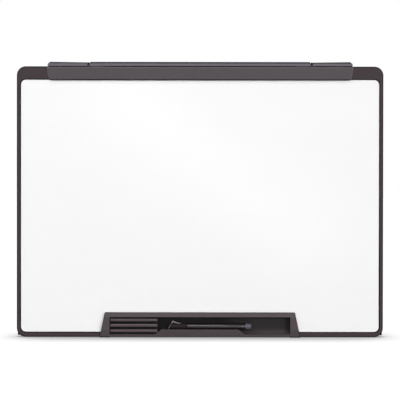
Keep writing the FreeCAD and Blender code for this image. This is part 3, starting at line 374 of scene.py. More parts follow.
def tint_turns(material, colour, axis, start, end, both_ways=True):
    """Faces whose share along an axis goes from start to end take another colour, which paints shade and
    highlights by the way a face turns.
    """
    tree = material.node_tree
    way = add_node(tree, "ShaderNodeTexCoord", {}).outputs["Normal"]
    share = add_node(tree, "ShaderNodeSeparateXYZ", {"Vector": way}).outputs[axis]
    if both_ways:
        share = add_node(tree, "ShaderNodeMath", {0: share}, operation="ABSOLUTE").outputs[0]
    mask = add_node(tree, "ShaderNodeMapRange", {"Value": share, "From Min": start, "From Max": end})
    mix_in(material, mask.outputs[0], colour)


def near(edge, steps_mm):
    """Two places at steps from an edge, where a tint starts and where it is full."""
    return [edge + step * MM for step in steps_mm]


def tint_room(material, colour, **limits):
    """The part of a piece beyond some limits takes another colour, which paints shade and highlights by
    place.
    """
    tree = material.node_tree
    place = add_node(tree, "ShaderNodeTexCoord", {}).outputs["Object"]
    parts = add_node(tree, "ShaderNodeSeparateXYZ", {"Vector": place})
    mask = 1.0
    for axis, (start, end) in limits.items():
        inside = add_node(
            tree, "ShaderNodeMapRange",
            {"Value": parts.outputs[axis], "From Min": start, "From Max": end},
        )
        factors = {0: mask, 1: inside.outputs[0]}
        mask = add_node(tree, "ShaderNodeMath", factors, operation="MULTIPLY").outputs[0]
    mix_in(material, mask, colour)

# %% [markdown]
# ## Frame and rear cover
# The frame is one charcoal moulding. Its rounded rim is painted nearly black as shade beside the
# white sheet, while the outer walls have the plain grain again. The cover behind has a deeper leather
# grain, which hides scratches. Grain could be modelled, but it is too fine for that, so it is a bump.

# %% Frame and rear cover
# Turns are shares of a face's direction along an axis, where a tint starts and where it is full.
RIM_TURNS = (0.998, 0.94)
WALL_TURNS = (0.4, 0.2)


def dress(material, *names):
    """Gives CAD nodes their finish."""
    for name in names:
        mesh = nodes[name].data
        mesh.materials.clear()
        mesh.materials.append(material)
    print(material.name, "on", ", ".join(names))


# A dull brown black with soft highlights.
frame_abs = moulded_plastic(
    "charcoal ABS, fine grain", "3d3436", "43393c", roughness=0.55, grain_mm=1.6, grain_depth_mm=0.06
)
# The rounded rim is painted nearly black as shade, and the outer walls take the plain colour back.
tint_turns(frame_abs, "0a0607", "Y", *RIM_TURNS)
tint_turns(frame_abs, "3d3436", "Y", *WALL_TURNS)
dress(frame_abs, "frame")

# Small pebbles that break up the light; real ones are about 1 mm and are drawn coarser.
cover_abs = moulded_plastic(
    "charcoal ABS, leather grain", "443d40", "4d4548", roughness=0.50, grain_mm=4.5, grain_depth_mm=0.5
)
dress(cover_abs, "rear_cover")

# %% [markdown]
# ## Top bar and strips
# The bar is a lighter satin grey, and the strips on it, two hanger arms and the handle, are lighter and
# smoother still. The bar's top edge and its ends are painted pale as highlights, and its lower edge is
# painted dark as shade. The upper bevel of the strips looks away from the light and is painted darker as
# shade, and the strips are painted dark as shade at their ends and at the slits between them. A mask on
# the distance from the slits does that for both sides at once.

# %% Top bar
BAR_TOP_MM = (-2.0, -1.2)
BAR_FOOT_MM = (1.8, 1.0)
BAR_END_TURNS = (0.3, 0.8)

bar_low, bar_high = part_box("top_bar")

# An even grey with a faint satin shine.
bar_abs = moulded_plastic(
    "grey ABS, satin", "4e494c", "544f52", roughness=0.48, grain_mm=1.4, grain_depth_mm=0.04
)
# The top edge is painted pale as a highlight.
tint_room(bar_abs, "625d60", Z=near(bar_high.z, BAR_TOP_MM))
# The lower edge, which turns down, is painted dark as shade.
tint_room(bar_abs, "0a0809", Z=near(bar_low.z, BAR_FOOT_MM))
# Both ends are painted pale as highlights.
tint_turns(bar_abs, "8a8488", "X", *BAR_END_TURNS)
dress(bar_abs, "top_bar")

# %% Strips
BEVEL_TURNS = (0.35, 0.6)
STRIP_END_TURNS = (0.2, 0.5)
SLIT_HALF = 0.9 * MM
# Distances from a slit where its painted shade starts and where it is full.
SLIT_UNSHADED, SLIT_SHADED = 1.9 * MM, 1.3 * MM

slit_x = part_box("handle")[1].x + SLIT_HALF


def tint_slits(material, colour):
    """The strips are painted dark as shade at the two slits between them."""
    tree = material.node_tree
    place = add_node(tree, "ShaderNodeTexCoord", {}).outputs["Object"]
    across = add_node(tree, "ShaderNodeSeparateXYZ", {"Vector": place}).outputs["X"]
    outward = add_node(tree, "ShaderNodeMath", {0: across}, operation="ABSOLUTE").outputs[0]
    from_slit = {0: outward, 1: slit_x}
    offset = add_node(tree, "ShaderNodeMath", from_slit, operation="SUBTRACT").outputs[0]
    away = add_node(tree, "ShaderNodeMath", {0: offset}, operation="ABSOLUTE").outputs[0]
    limits = {"Value": away, "From Min": SLIT_UNSHADED, "From Max": SLIT_SHADED}
    mask = add_node(tree, "ShaderNodeMapRange", limits)
    mix_in(material, mask.outputs[0], colour)


# A cool, pale grey; the painted shade on the upper bevel shows the bevels as separate tones.
strip_abs = moulded_plastic(
    "grey ABS, smooth satin", "635d66", "69636c", roughness=0.42, grain_mm=1.4, grain_depth_mm=0.03
)
# The upper bevel, which turns up and away, is painted darker as shade.
tint_turns(strip_abs, "343037", "Z", *BEVEL_TURNS, both_ways=False)
# The ends, inside the slits, are painted dark as shade.
tint_turns(strip_abs, "0c0a0c", "X", *STRIP_END_TURNS)
# A band along each slit is painted dark as shade.
tint_slits(strip_abs, "0c0a0c")
dress(strip_abs, "hanger_arm_left", "hanger_arm_right", "handle")

# %% [markdown]
# ## Tray
# The tray is one moulding with a bezel, a lip and a deep pocket. Its outer faces are satin. Its pocket
# is painted dark as shade, most of all behind the marker, and its floor is painted paler towards the free
# end as light. The bezel is painted a little lighter, the foot and the faces that turn down are painted
# dark as shade, the rounded edges are painted darker as shade and the faces that turn up are painted
# pale as highlights. All of it is one solid, so the zones are given by their places on it: Y is the
# depth from the front, X runs along the tray and Z is the height.

# %% Tray
TRAY_LIP_MM = (13, 11)
BEZEL_MM = (33, 34)
TRAY_FOOT_MM = (2.2, 1.4)
POCKET_MM = (0.8, 1.8)
DARK_END_MM = (90, 40)
FREE_END_MM = (60, 110)
POCKET_FLOOR_MM = (14, 6)
EDGE_TURNS = (0.995, 0.85)
UNDER_TURNS = (0.0, -0.3)
UPPER_TURNS = (0.6, 0.9)

tray_low, tray_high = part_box("tray")
pocket = near(tray_low.y, POCKET_MM)
tray_middle = (tray_low.x + tray_high.x) / 2

# A warm grey, a little lighter than the frame.
tray_abs = moulded_plastic(
    "tray ABS, satin", "4c4446", "524a4c", roughness=0.50, grain_mm=1.4, grain_depth_mm=0.04
)
tint_room(tray_abs, "484042", Z=near(tray_low.z, TRAY_LIP_MM))
# The bezel is painted a little lighter.
tint_room(tray_abs, "585053", Z=near(tray_low.z, BEZEL_MM))
# The foot is painted dark as shade.
tint_room(tray_abs, "241f21", Z=near(tray_low.z, TRAY_FOOT_MM))
# The rounded edges are painted dark as shade, and the walls take the plain colour back.
tint_turns(tray_abs, "100c0d", "Y", *EDGE_TURNS)
tint_turns(tray_abs, "4c4446", "Y", *WALL_TURNS)
# Faces that turn down are painted dark as shade.
tint_turns(tray_abs, "0e0b0c", "Z", *UNDER_TURNS, both_ways=False)
# The pocket is painted dark as shade.
tint_room(tray_abs, "2c282a", Y=pocket)
# It is painted darker still as shade behind the marker.
tint_room(tray_abs, "161314", Y=pocket, X=near(tray_middle, DARK_END_MM))
# Its floor towards the free end is painted paler as light.
tint_room(
    tray_abs, "433d3f", Y=pocket, X=near(tray_middle, FREE_END_MM), Z=near(tray_low.z, POCKET_FLOOR_MM)
)
# Faces that turn up are painted pale as highlights.
tint_turns(tray_abs, "625c5e", "Z", *UPPER_TURNS, both_ways=False)
dress(tray_abs, "tray")

# %% [markdown]
# ## Feet, nylon fittings and eraser grip
# The feet are the frame's plastic with a slightly coarser grain. The brackets, guides and washers that
# things slide and turn on are black nylon. The eraser's grip has three rounded ribs: their tops are
# painted pale as highlights, and their undersides, the grooves between them and the grip's top under the
# bezel are painted dark as shade.

# %% Feet, nylon fittings and eraser grip
RIB_TOP_TURNS = (0.1, 0.5)
RIB_UNDER_TURNS = (-0.1, -0.5)
GRIP_CREST_MM = (-2.6, -1.6)
GRIP_GROOVE_MM = (0.3, 2.7)

# A dull charcoal that hardly shines.
foot_abs = moulded_plastic(
    "foot ABS, fine grain", "3b3538", "423b3e", roughness=0.52, grain_mm=1.8, grain_depth_mm=0.06
)
dress(foot_abs, "foot_left", "foot_right", "foot_bracket_left", "foot_bracket_right")

# Nearly black, with the waxy look of an unpolished mould.
nylon = moulded_plastic(
    "black nylon, as moulded", "29272a", "312e31", roughness=0.48, grain_mm=2.2, grain_depth_mm=0.05
)
dress(
    nylon, "hanger_bracket_left", "hanger_bracket_right", "handle_guide_left", "handle_guide_right",
    "hanger_washers",
)

grip_low, grip_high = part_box("eraser_grip")
# A warm matt grey; the dark lines between the ribs are painted shade.
eraser_abs = moulded_plastic(
    "eraser ABS, matt", "4e4548", "564c4f", roughness=0.50, grain_mm=1.5, grain_depth_mm=0.05
)
# The tops of the ribs are painted pale as highlights.
tint_turns(eraser_abs, "6b6165", "Z", *RIB_TOP_TURNS, both_ways=False)
# Their undersides are painted dark as shade.
tint_turns(eraser_abs, "2a2426", "Z", *RIB_UNDER_TURNS, both_ways=False)
# The grip's top, under the bezel, is painted dark as shadow.
tint_room(eraser_abs, "1a1617", Z=near(grip_high.z, GRIP_CREST_MM))
# The grooves, deep between the ribs, are painted nearly black as shade.
tint_room(eraser_abs, "0a0808", Y=near(grip_low.y, GRIP_GROOVE_MM))
dress(eraser_abs, "eraser_grip")

# %% [markdown]
# ## Writing surface
# The sheet is steel under a baked white enamel that markers wipe off. It is glossy but not a
# mirror: baking leaves a faint orange peel, and wiping leaves soft streaks that change the gloss
# more than the colour. The streaks are a noise that is stretched and turned as an arm wipes.

# %% Enamel
WIPE_STRETCH = (1.0, 1.0, 3.5)
WIPE_TURN_DEGREES = 24
STREAK_MM = 130
STREAK_DETAIL, STREAK_ROUGHNESS = 3.0, 0.45
ENAMEL_SMOOTH, ENAMEL_WIPED = 0.14, 0.2
ENAMEL_IOR = 1.5
PEEL_MM = 7
PEEL_DETAIL = 1.0
PEEL_DEPTH_MM = 0.02
PEEL_STRENGTH = 0.3

# White, with a blurred reflection of the lamps; the orange peel is drawn coarser than its 2 mm.
enamel, tree, shader, place = new_material("white enamel on steel")
wiped = add_node(
    tree, "ShaderNodeMapping",
    {"Vector": place, "Scale": WIPE_STRETCH, "Rotation": (0, math.radians(WIPE_TURN_DEGREES), 0)},
)
streaks = noise(tree, wiped.outputs[0], STREAK_MM, STREAK_DETAIL, Roughness=STREAK_ROUGHNESS)
white_tint = mix_colours(tree, streaks, linear("f3f3f3"), linear("f5f5f5"))
sheen = spread(tree, streaks, ENAMEL_SMOOTH, ENAMEL_WIPED)
peel = bump(tree, noise(tree, place, PEEL_MM, PEEL_DETAIL), PEEL_DEPTH_MM, PEEL_STRENGTH)
tree.links.new(white_tint, shader.inputs["Base Color"])
tree.links.new(sheen, shader.inputs["Roughness"])
tree.links.new(peel, shader.inputs["Normal"])
shader.inputs["IOR"].default_value = ENAMEL_IOR
dress(enamel, "writing_surface")

# %% [markdown]
# ## Metals
# The fasteners and pins are steel with a thin zinc plating, bright under a cloudy passivation film.
# The hooks are steel under a dark powder coat, which melts in the oven and dries with an orange peel.
# A plain metal would do for both at this size, but close up the clouds and the peel tell them apart.

# %% Metals
PLATE_CLOUD_MM = 3
PLATE_DETAIL = 3.0
PLATE_BRIGHT, PLATE_DULL = 0.25, 0.45
POWDER_MM = 0.9
POWDER_DETAIL = 2.0
POWDER_DEPTH_MM = 0.05
POWDER_STRENGTH = 0.6
POWDER_ROUGHNESS = 0.45

# Silver, with patches of faint yellow where the film is thicker.
zinc, tree, shader, place = new_material("zinc plated steel")
cloud = noise(tree, place, PLATE_CLOUD_MM, PLATE_DETAIL)
plate_tint = mix_colours(tree, cloud, linear("a9acb0"), linear("c6c4bc"))
plate_gloss = spread(tree, cloud, PLATE_BRIGHT, PLATE_DULL)
tree.links.new(plate_tint, shader.inputs["Base Color"])
tree.links.new(plate_gloss, shader.inputs["Roughness"])
shader.inputs["Metallic"].default_value = 1.0
dress(zinc, "foot_hinge_pins", "foot_backing_plates", "bar_screws")

# Dark grey with a fine pebbled shine.
powder, tree, shader, place = new_material("powder coated steel")
speckle = noise(tree, place, POWDER_MM, POWDER_DETAIL)
powder_tint = mix_colours(tree, speckle, linear("2c2b2e"), linear("3a393c"))
powder_peel = bump(tree, speckle, POWDER_DEPTH_MM, POWDER_STRENGTH)
tree.links.new(powder_tint, shader.inputs["Base Color"])
tree.links.new(powder_peel, shader.inputs["Normal"])
shader.inputs["Roughness"].default_value = POWDER_ROUGHNESS
dress(powder, "hanger_hook_left", "hanger_hook_right")

# %% [markdown]
# ## Rubber, felt and card
# The pads are black rubber, vulcanised in a mould, which grows a dusty bloom with age. The eraser's
# face and the marker's inside are felt, wool fibres pressed until they lock. The core behind the sheet
# is a honeycomb of kraft paper. Hair would make the felt's fuzz too, but a bump is enough at this size.

# %% Rubber
BLOOM_MM = 5
BLOOM_DETAIL = 5.0
RUBBER_CLEAN, RUBBER_DUSTY = 0.62, 0.82

# Black without shine, with grey dusty patches.
rubber, tree, shader, place = new_material("black rubber")
bloom = noise(tree, place, BLOOM_MM, BLOOM_DETAIL)
rubber_tint = mix_colours(tree, bloom, linear("141415"), linear("232223"))
rubber_gloss = spread(tree, bloom, RUBBER_CLEAN, RUBBER_DUSTY)
tree.links.new(rubber_tint, shader.inputs["Base Color"])
tree.links.new(rubber_gloss, shader.inputs["Roughness"])
print(rubber.name, "with a bloom of", BLOOM_MM, "mm")

# %% Felt and card
FIBRE_MM = 0.8
FIBRE_DETAIL, FIBRE_ROUGHNESS = 6.0, 0.75
FIBRE_TANGLE = 1.2
FUZZ_DEPTH_MM = 0.4
FUZZ_STRENGTH = 0.8
FELT_ROUGHNESS = 0.95
FELT_SHEEN = 0.3
PULP_MM = 4
PULP_DETAIL = 6.0
KRAFT_ROUGHNESS = 0.9

# A soft dark grey with tangled light fibres; real fibres are thinner and are drawn coarser.
felt, tree, shader, place = new_material("pressed wool felt")
fibre = noise(
    tree, place, FIBRE_MM, FIBRE_DETAIL, Roughness=FIBRE_ROUGHNESS, Distortion=FIBRE_TANGLE
)
felt_tint = mix_colours(tree, fibre, linear("161618"), linear("39383b"))
fuzz = bump(tree, fibre, FUZZ_DEPTH_MM, FUZZ_STRENGTH)
tree.links.new(felt_tint, shader.inputs["Base Color"])
tree.links.new(fuzz, shader.inputs["Normal"])
shader.inputs["Roughness"].default_value = FELT_ROUGHNESS
shader.inputs["Sheen Weight"].default_value = FELT_SHEEN
dress(felt, "marker_nib", "marker_reservoir")

# Brown paper with the blotches of its pulp.
kraft, tree, shader, place = new_material("kraft honeycomb")
pulp = noise(tree, place, PULP_MM, PULP_DETAIL)
kraft_tint = mix_colours(tree, pulp, linear("a98658"), linear("c9aa7c"))
tree.links.new(kraft_tint, shader.inputs["Base Color"])
shader.inputs["Roughness"].default_value = KRAFT_ROUGHNESS
dress(kraft, "core")

# %% [markdown]
# ## Marker plastics
# The marker is polypropylene, which takes the polish of its mould. The barrel is black and glossy, so
# it carries one bright line. The cap and its fin are satin from handling, and their bevels are painted
# pale as highlights, which draws their outline in the dark pocket. The plug is a blue grey.

# %% Marker plastics
# Faces turned partly to the left take a painted highlight; faces turned fully left keep the plain colour.
HIGHLIGHT_TURNS = (-0.15, -0.4)
PAST_HIGHLIGHT_TURNS = (-0.7, -0.82)
FIN_BEVEL_TURNS = (0.95, 0.8)
BARREL_SPECULAR = 0.6
PLUG_SPECULAR = 0.3

# Black, with one sharp line of light.
barrel_gloss = moulded_plastic(
    "black polypropylene, polished", "191315", "1f181a", roughness=0.15, grain_mm=3.0,
    grain_depth_mm=0.005, specular=BARREL_SPECULAR,
)
# Black without a line of light, so that the painted highlights on its edges stand out.
cap_satin = moulded_plastic(
    "black polypropylene, satin", "221a1b", "282021", roughness=0.50, grain_mm=3.0, grain_depth_mm=0.01
)
# The same with painted highlights on the bevels of its broad sides too.
fin_satin = moulded_plastic(
    "black polypropylene, painted edge highlights", "221a1b", "282021", roughness=0.50, grain_mm=3.0,
    grain_depth_mm=0.01,
)
# The sloped end and its bevels, turned partly to the left, are painted pale as highlights.
for highlit in (cap_satin, fin_satin):
    tint_turns(highlit, "8f898f", "X", *HIGHLIGHT_TURNS, both_ways=False)
    tint_turns(highlit, "221a1b", "X", *PAST_HIGHLIGHT_TURNS, both_ways=False)
# The fin's bevels on its broad sides are painted pale as highlights too.
tint_turns(fin_satin, "8f898f", "Y", *FIN_BEVEL_TURNS)
# A cool grey with a soft shine.
plug_gloss = moulded_plastic(
    "blue grey polypropylene, polished", "4b4d56", "555760", roughness=0.22, grain_mm=3.0,
    grain_depth_mm=0.005, specular=PLUG_SPECULAR,
)

# %% [markdown]
# ## Pieces that are more than their solids
# The solids of the screws, the marker, the felt and the rubber pads have the right size and place,
# but not the small forms that catch the light. Each gets a mesh of its own, made from the box of
# the solid that it stands for, so it moves and fits as the solid does. A node can hold several
# solids, so the first helper parts them by walking along their edges.

# %% Helpers for pieces
MERGE = 0.01 * MM
CREASE_DEGREES = 30


def solid_boxes(node):
    """The lowest and highest corners of each separate solid in a node."""
    shape = bmesh.new()
    shape.from_mesh(nodes[node].data)
    bmesh.ops.remove_doubles(shape, verts=shape.verts, dist=MERGE)
    waiting = set(shape.verts)
    boxes = []
    while waiting:
        reached = [waiting.pop()]
        for vert in reached:
            found = {edge.other_vert(vert) for edge in vert.link_edges} & waiting
            waiting -= found
            reached.extend(found)
        corners = [[way(vert.co[axis] for vert in reached) for axis in range(3)] for way in (min, max)]
        boxes.append([Vector(corner) for corner in corners])
    shape.free()
    return boxes


def clean(shape):
    """Merges the seams and turns every face outwards."""
    bmesh.ops.remove_doubles(shape, verts=shape.verts, dist=MERGE)
    bmesh.ops.recalc_face_normals(shape, faces=shape.faces)


def finish_piece(name, shape, material, body, slot, *replaced):
    """Turns a mesh in the making into an object that rides on a body and stands for CAD nodes."""
    clean(shape)
    for face in shape.faces:
        face.smooth = True
    mesh = bpy.data.meshes.new(name)
    shape.to_mesh(mesh)
    shape.free()
    mesh.set_sharp_from_angle(angle=math.radians(CREASE_DEGREES))
    mesh.materials.append(material)
    thing = bpy.data.objects.new(name, mesh)
    scene.collection.objects.link(thing)
    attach(thing, body)
    if replaced:
        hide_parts(*replaced)
    print(name, len(mesh.polygons), "faces")
    return thing


print(len(solid_boxes("cover_screws")), "screws hold the rear cover")

# %% [markdown]
# ## Screws
# Pan-head screws are cold headed from wire: a punch forms the domed head and the cross recess in
# one blow. A cross could be cut with a boolean, but that leaves poor faces. Here the recess starts as
# a cross-shaped face that is inset and sunk, its rim is bridged to a circle, and the circle is drawn
# out ring by ring into the dome, the flat seat and the shank.

# %% One screw
QUARTERS = 4
QUARTER_DEGREES = 90
CROSS_REACH_SHARE = 0.52
CROSS_HALF_SHARE = 0.13
CROSS_SINK_SHARE = 0.6
CROSS_DRAFT_SHARE = 0.04
FLAT_SHARE = 0.62
DOME_SHARE, DOME_FALL_SHARE = 0.86, 0.16
RIM_FALL_SHARE = 0.5
HEAD_SEGMENTS = 24


def add_screw(shape, top, way, head_radius, head_thick, shank_radius, length):
    """One screw whose head's top lies at a point, with the shank away from the given direction."""
    turned = way.to_track_quat("Z", "X").to_matrix().to_4x4()
    place = Matrix.Translation(top) @ turned
    reach = head_radius * CROSS_REACH_SHARE
    half = head_radius * CROSS_HALF_SHARE
    cross = []
    for quarter in range(QUARTERS):
        spin = Matrix.Rotation(math.radians(QUARTER_DEGREES * quarter), 4, "Z")
        for corner in ((reach, -half, 0), (reach, half, 0), (half, half, 0)):
            cross.append(shape.verts.new(place @ spin @ Vector(corner)))
    recess = shape.faces.new(cross)
    rim = list(recess.edges)
    circle = bmesh.ops.create_circle(
        shape, segments=HEAD_SEGMENTS, radius=head_radius * FLAT_SHARE, matrix=place
    )["verts"]
    ring = list({edge for vert in circle for edge in vert.link_edges})
    bmesh.ops.bridge_loops(shape, edges=rim + ring)
    bmesh.ops.inset_individual(
        shape, faces=[recess], thickness=head_radius * CROSS_DRAFT_SHARE,
        depth=-head_thick * CROSS_SINK_SHARE,
    )
    steps = (
        (head_radius * DOME_SHARE, head_thick * DOME_FALL_SHARE),
        (head_radius, head_thick * RIM_FALL_SHARE),
        (head_radius, head_thick),
        (shank_radius, head_thick),
        (shank_radius, length),
    )
    radius = head_radius * FLAT_SHARE
    depth = 0
    for next_radius, next_depth in steps:
        drawn = bmesh.ops.extrude_edge_only(shape, edges=ring)["geom"]
        verts = [item for item in drawn if isinstance(item, bmesh.types.BMVert)]
        ring = [item for item in drawn if isinstance(item, bmesh.types.BMEdge)]
        bmesh.ops.translate(shape, verts=verts, vec=way * (depth - next_depth))
        grow = next_radius / radius
        bmesh.ops.scale(shape, verts=verts, vec=(grow, grow, 1), space=place.inverted())
        radius = next_radius
        depth = next_depth
    bmesh.ops.edgeloop_fill(shape, edges=ring)


print("a cross recess reaches", CROSS_REACH_SHARE, "of the head's radius")

# %% All screws
Y_WAY = Vector((0, 1, 0))
Z_WAY = Vector((0, 0, 1))
SCREW_SHANK = 1.4 * MM
SCREW_HEAD_THICK = 1.6 * MM
FOOT_HEAD_THICK = 1.2 * MM
PIVOT_SHANK = 3 * MM
PIVOT_HEAD_THICK = 2 * MM

for group, head_thick in (
    ("cover_screws", SCREW_HEAD_THICK), ("hanger_bracket_screws", SCREW_HEAD_THICK),
    ("guide_screws", SCREW_HEAD_THICK), ("tray_screws", SCREW_HEAD_THICK), ("foot_screws", FOOT_HEAD_THICK),
):
    made = bmesh.new()
    for low, high in solid_boxes(group):
        top = Vector(((low.x + high.x) / 2, high.y, (low.z + high.z) / 2))
        add_screw(made, top, Y_WAY, (high.x - low.x) / 2, head_thick, SCREW_SHANK, high.y - low.y)
    finish_piece(f"{group}_cross_recess", made, zinc, "board", "zinc_steel", group)

made = bmesh.new()
for low, high in solid_boxes("hanger_pivots"):
    top = Vector(((low.x + high.x) / 2, (low.y + high.y) / 2, high.z))
    add_screw(made, top, Z_WAY, (high.x - low.x) / 2, PIVOT_HEAD_THICK, PIVOT_SHANK, high.z - low.z)
finish_piece("hanger_pivots_cross_recess", made, zinc, "board", "zinc_steel", "hanger_pivots")

# %% [markdown]
# ## Lips behind the slits
# A slit parts each hanger arm from the handle, so that both can move. A thin dark rubber lip on the
# arm's end is put behind the slit as painted shade: it keeps light from showing through, so the slit
# reads dark. It swings away with the arm and clears the handle's end. Its outline is set behind the
# slit, drawn out and rounded.

# %% Lips behind the slits
LIP_REACH = 1.4 * MM
LIP_ROOT = 9 * MM
LIP_DEPTH = 3 * MM
LIP_INSET = 0.4 * MM
LIP_FALL = 1.2 * MM
LIP_ROUND = 0.25 * MM
SHARP_DEGREES = 40
ROUND_SEGMENTS = 3


def soften(shape, radius, segments=ROUND_SEGMENTS):
    """Rounds the edges where two faces meet sharply, or with one segment chamfers them."""
    clean(shape)
    sharp = [edge for edge in shape.edges if edge.calc_face_angle(0) > math.radians(SHARP_DEGREES)]
    bmesh.ops.bevel(
        shape, geom=sharp, offset=radius, offset_type="OFFSET", segments=segments, profile=0.5,
        affect="EDGES", material=-1, clamp_overlap=True,
    )


def draw_out(shape, travel):
    """Extrudes the flat outline of a shape along a vector."""
    drawn = bmesh.ops.extrude_face_region(shape, geom=shape.faces[:])["geom"]
    far_side = [item for item in drawn if isinstance(item, bmesh.types.BMVert)]
    bmesh.ops.translate(shape, verts=far_side, vec=travel)


for side, inward in (("left", 1), ("right", -1)):
    low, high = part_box(f"hanger_arm_{side}")
    end_x = high.x if inward > 0 else low.x
    tip_x = end_x + inward * LIP_REACH
    root_x = end_x - inward * LIP_ROOT
    foot_z = low.z + LIP_INSET
    top_z = high.z - LIP_FALL
    made = bmesh.new()
    outline = [(tip_x, foot_z), (tip_x, top_z), (root_x, top_z), (root_x, foot_z)]
    made.faces.new([made.verts.new((x, high.y - LIP_INSET, z)) for x, z in outline])
    draw_out(made, Y_WAY * -LIP_DEPTH)
    soften(made, LIP_ROUND)
    # The dark lip behind the slit stands in for the shade in it.
    finish_piece(f"hanger_shade_lip_{side}", made, rubber, f"hanger_{side}", "rubber")

# %% [markdown]
# ## Barrel and plug
# The barrel and the plug are round mouldings. A cylinder would be too plain: the barrel has a neck
# that the cap grips and a taper for the nib, and the plug has a spigot and a dished end. Their
# profiles are spun about the marker's axis, and every sharp edge is rounded as a mould leaves it.

# %% Turned pieces
X_WAY = Vector((1, 0, 0))
TURN_SEGMENTS = 48


def turn(shape, profile, start, way):
    """Spins a profile of distances along and from an axis, which leaves a start point."""
    side = way.orthogonal().normalized()
    rim = [shape.verts.new(start + along * way + radius * side) for along, radius in profile]
    lines = [shape.edges.new(pair) for pair in zip(rim, rim[1:])]
    bmesh.ops.spin(
        shape, geom=rim + lines, cent=start, axis=way, angle=math.tau, steps=TURN_SEGMENTS, use_merge=True
    )


def in_metres(points):
    """A profile or outline from millimetres."""
    return [tuple(value * MM for value in point) for point in points]


print("turned pieces have", TURN_SEGMENTS, "segments")

# %% Barrel
# The sizes of the marker, here and in its plug, cap and fin, are in millimetres.
NECK_TIP_RADIUS = 2.4
NECK_TAPER = 3
NECK_RADIUS = 3.8
NECK_LENGTH = 13
EDGE_ROUND = 0.45

barrel_low, barrel_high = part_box("marker_barrel")
barrel_radius = (barrel_high.z - barrel_low.z) / 2 / MM
barrel_length = (barrel_high.x - barrel_low.x) / MM
marker_y = (barrel_low.y + barrel_high.y) / 2
marker_z = (barrel_low.z + barrel_high.z) / 2
made = bmesh.new()
barrel_profile = [
    (0, 0), (0, NECK_TIP_RADIUS), (NECK_TAPER, NECK_RADIUS), (NECK_LENGTH, NECK_RADIUS),
    (NECK_LENGTH, barrel_radius), (barrel_length, barrel_radius), (barrel_length, 0),
]
turn(made, in_metres(barrel_profile), Vector((barrel_low.x, marker_y, marker_z)), X_WAY)
soften(made, EDGE_ROUND * MM)
finish_piece("marker_barrel_turned", made, barrel_gloss, "marker", "marker_plastic", "marker_barrel")

# %% Plug
SPIGOT_RADIUS = 3.7
SPIGOT_LENGTH = 8
DISH_RADIUS = 3.2
DISH_DEPTH = 0.8

plug_low, plug_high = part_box("marker_plug")
plug_radius = (plug_high.z - plug_low.z) / 2 / MM
plug_length = (plug_high.x - plug_low.x) / MM
made = bmesh.new()
plug_profile = [
    (0, 0), (0, SPIGOT_RADIUS), (SPIGOT_LENGTH, SPIGOT_RADIUS), (SPIGOT_LENGTH, plug_radius),
    (plug_length, plug_radius), (plug_length, DISH_RADIUS), (plug_length - DISH_DEPTH, DISH_RADIUS),
    (plug_length - DISH_DEPTH, 0),
]
turn(made, in_metres(plug_profile), Vector((plug_low.x, marker_y, marker_z)), X_WAY)
soften(made, EDGE_ROUND * MM)
finish_piece("marker_plug_turned", made, plug_gloss, "marker", "plug_plastic", "marker_plug")

# %% [markdown]
# ## Cap and fin
# The cap is a round moulding that is cut off on a slope, with a fin on top that serves as a clip. The
# cap is spun with its socket, cut by a plane and closed. The fin is a flat outline with a hollow back,
# drawn out to its thickness. Both are chamfered all round, because the bevels are what catches the light.

# %% Cap
CAP_WALL = 1.3
CAP_SOCKET = 13.6
NIB_ROOM_RADIUS = 2.2
NIB_ROOM_DEPTH = 22
CAP_BEVEL = 1
FIN_PEAK_RUN = 8

cap_low, cap_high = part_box("marker_cap")
cap_radius = (cap_high.y - cap_low.y) / 2 / MM
cap_length = (cap_high.x - cap_low.x) / MM
peak_rise = (cap_high.z - marker_z) / MM
cap_foot = Vector((cap_low.x, marker_y, cap_low.z))
made = bmesh.new()
cap_profile = [
    (0, 0), (0, cap_radius), (cap_length, cap_radius), (cap_length, cap_radius - CAP_WALL),
    (cap_length - CAP_SOCKET, cap_radius - CAP_WALL), (cap_length - CAP_SOCKET, NIB_ROOM_RADIUS),
    (cap_length - NIB_ROOM_DEPTH, NIB_ROOM_RADIUS), (cap_length - NIB_ROOM_DEPTH, 0),
]
turn(made, in_metres(cap_profile), Vector((cap_low.x, marker_y, marker_z)), X_WAY)
clean(made)
slope = Vector((FIN_PEAK_RUN, 0, cap_radius + peak_rise)).normalized()
cut = bmesh.ops.bisect_plane(
    made, geom=made.verts[:] + made.edges[:] + made.faces[:], plane_co=cap_foot,
    plane_no=(-slope.z, 0, slope.x), clear_outer=True,
)["geom_cut"]
bmesh.ops.edgeloop_fill(made, edges=[item for item in cut if isinstance(item, bmesh.types.BMEdge)])
soften(made, CAP_BEVEL * MM, segments=1)
finish_piece("marker_cap_turned", made, cap_satin, "marker_cap", "marker_plastic", "marker_cap")

# %% Fin
FIN_HALF_THICK = 2
FIN_WAIST_RUN, FIN_WAIST_RISE = 17, 6
FIN_END_RUN, FIN_END_RISE = 28, 4.5
FIN_BEVEL = 1.3
WAIST_ROUND = 6
PEAK_ROUND = 1.2
CORNER_SEGMENTS = 6

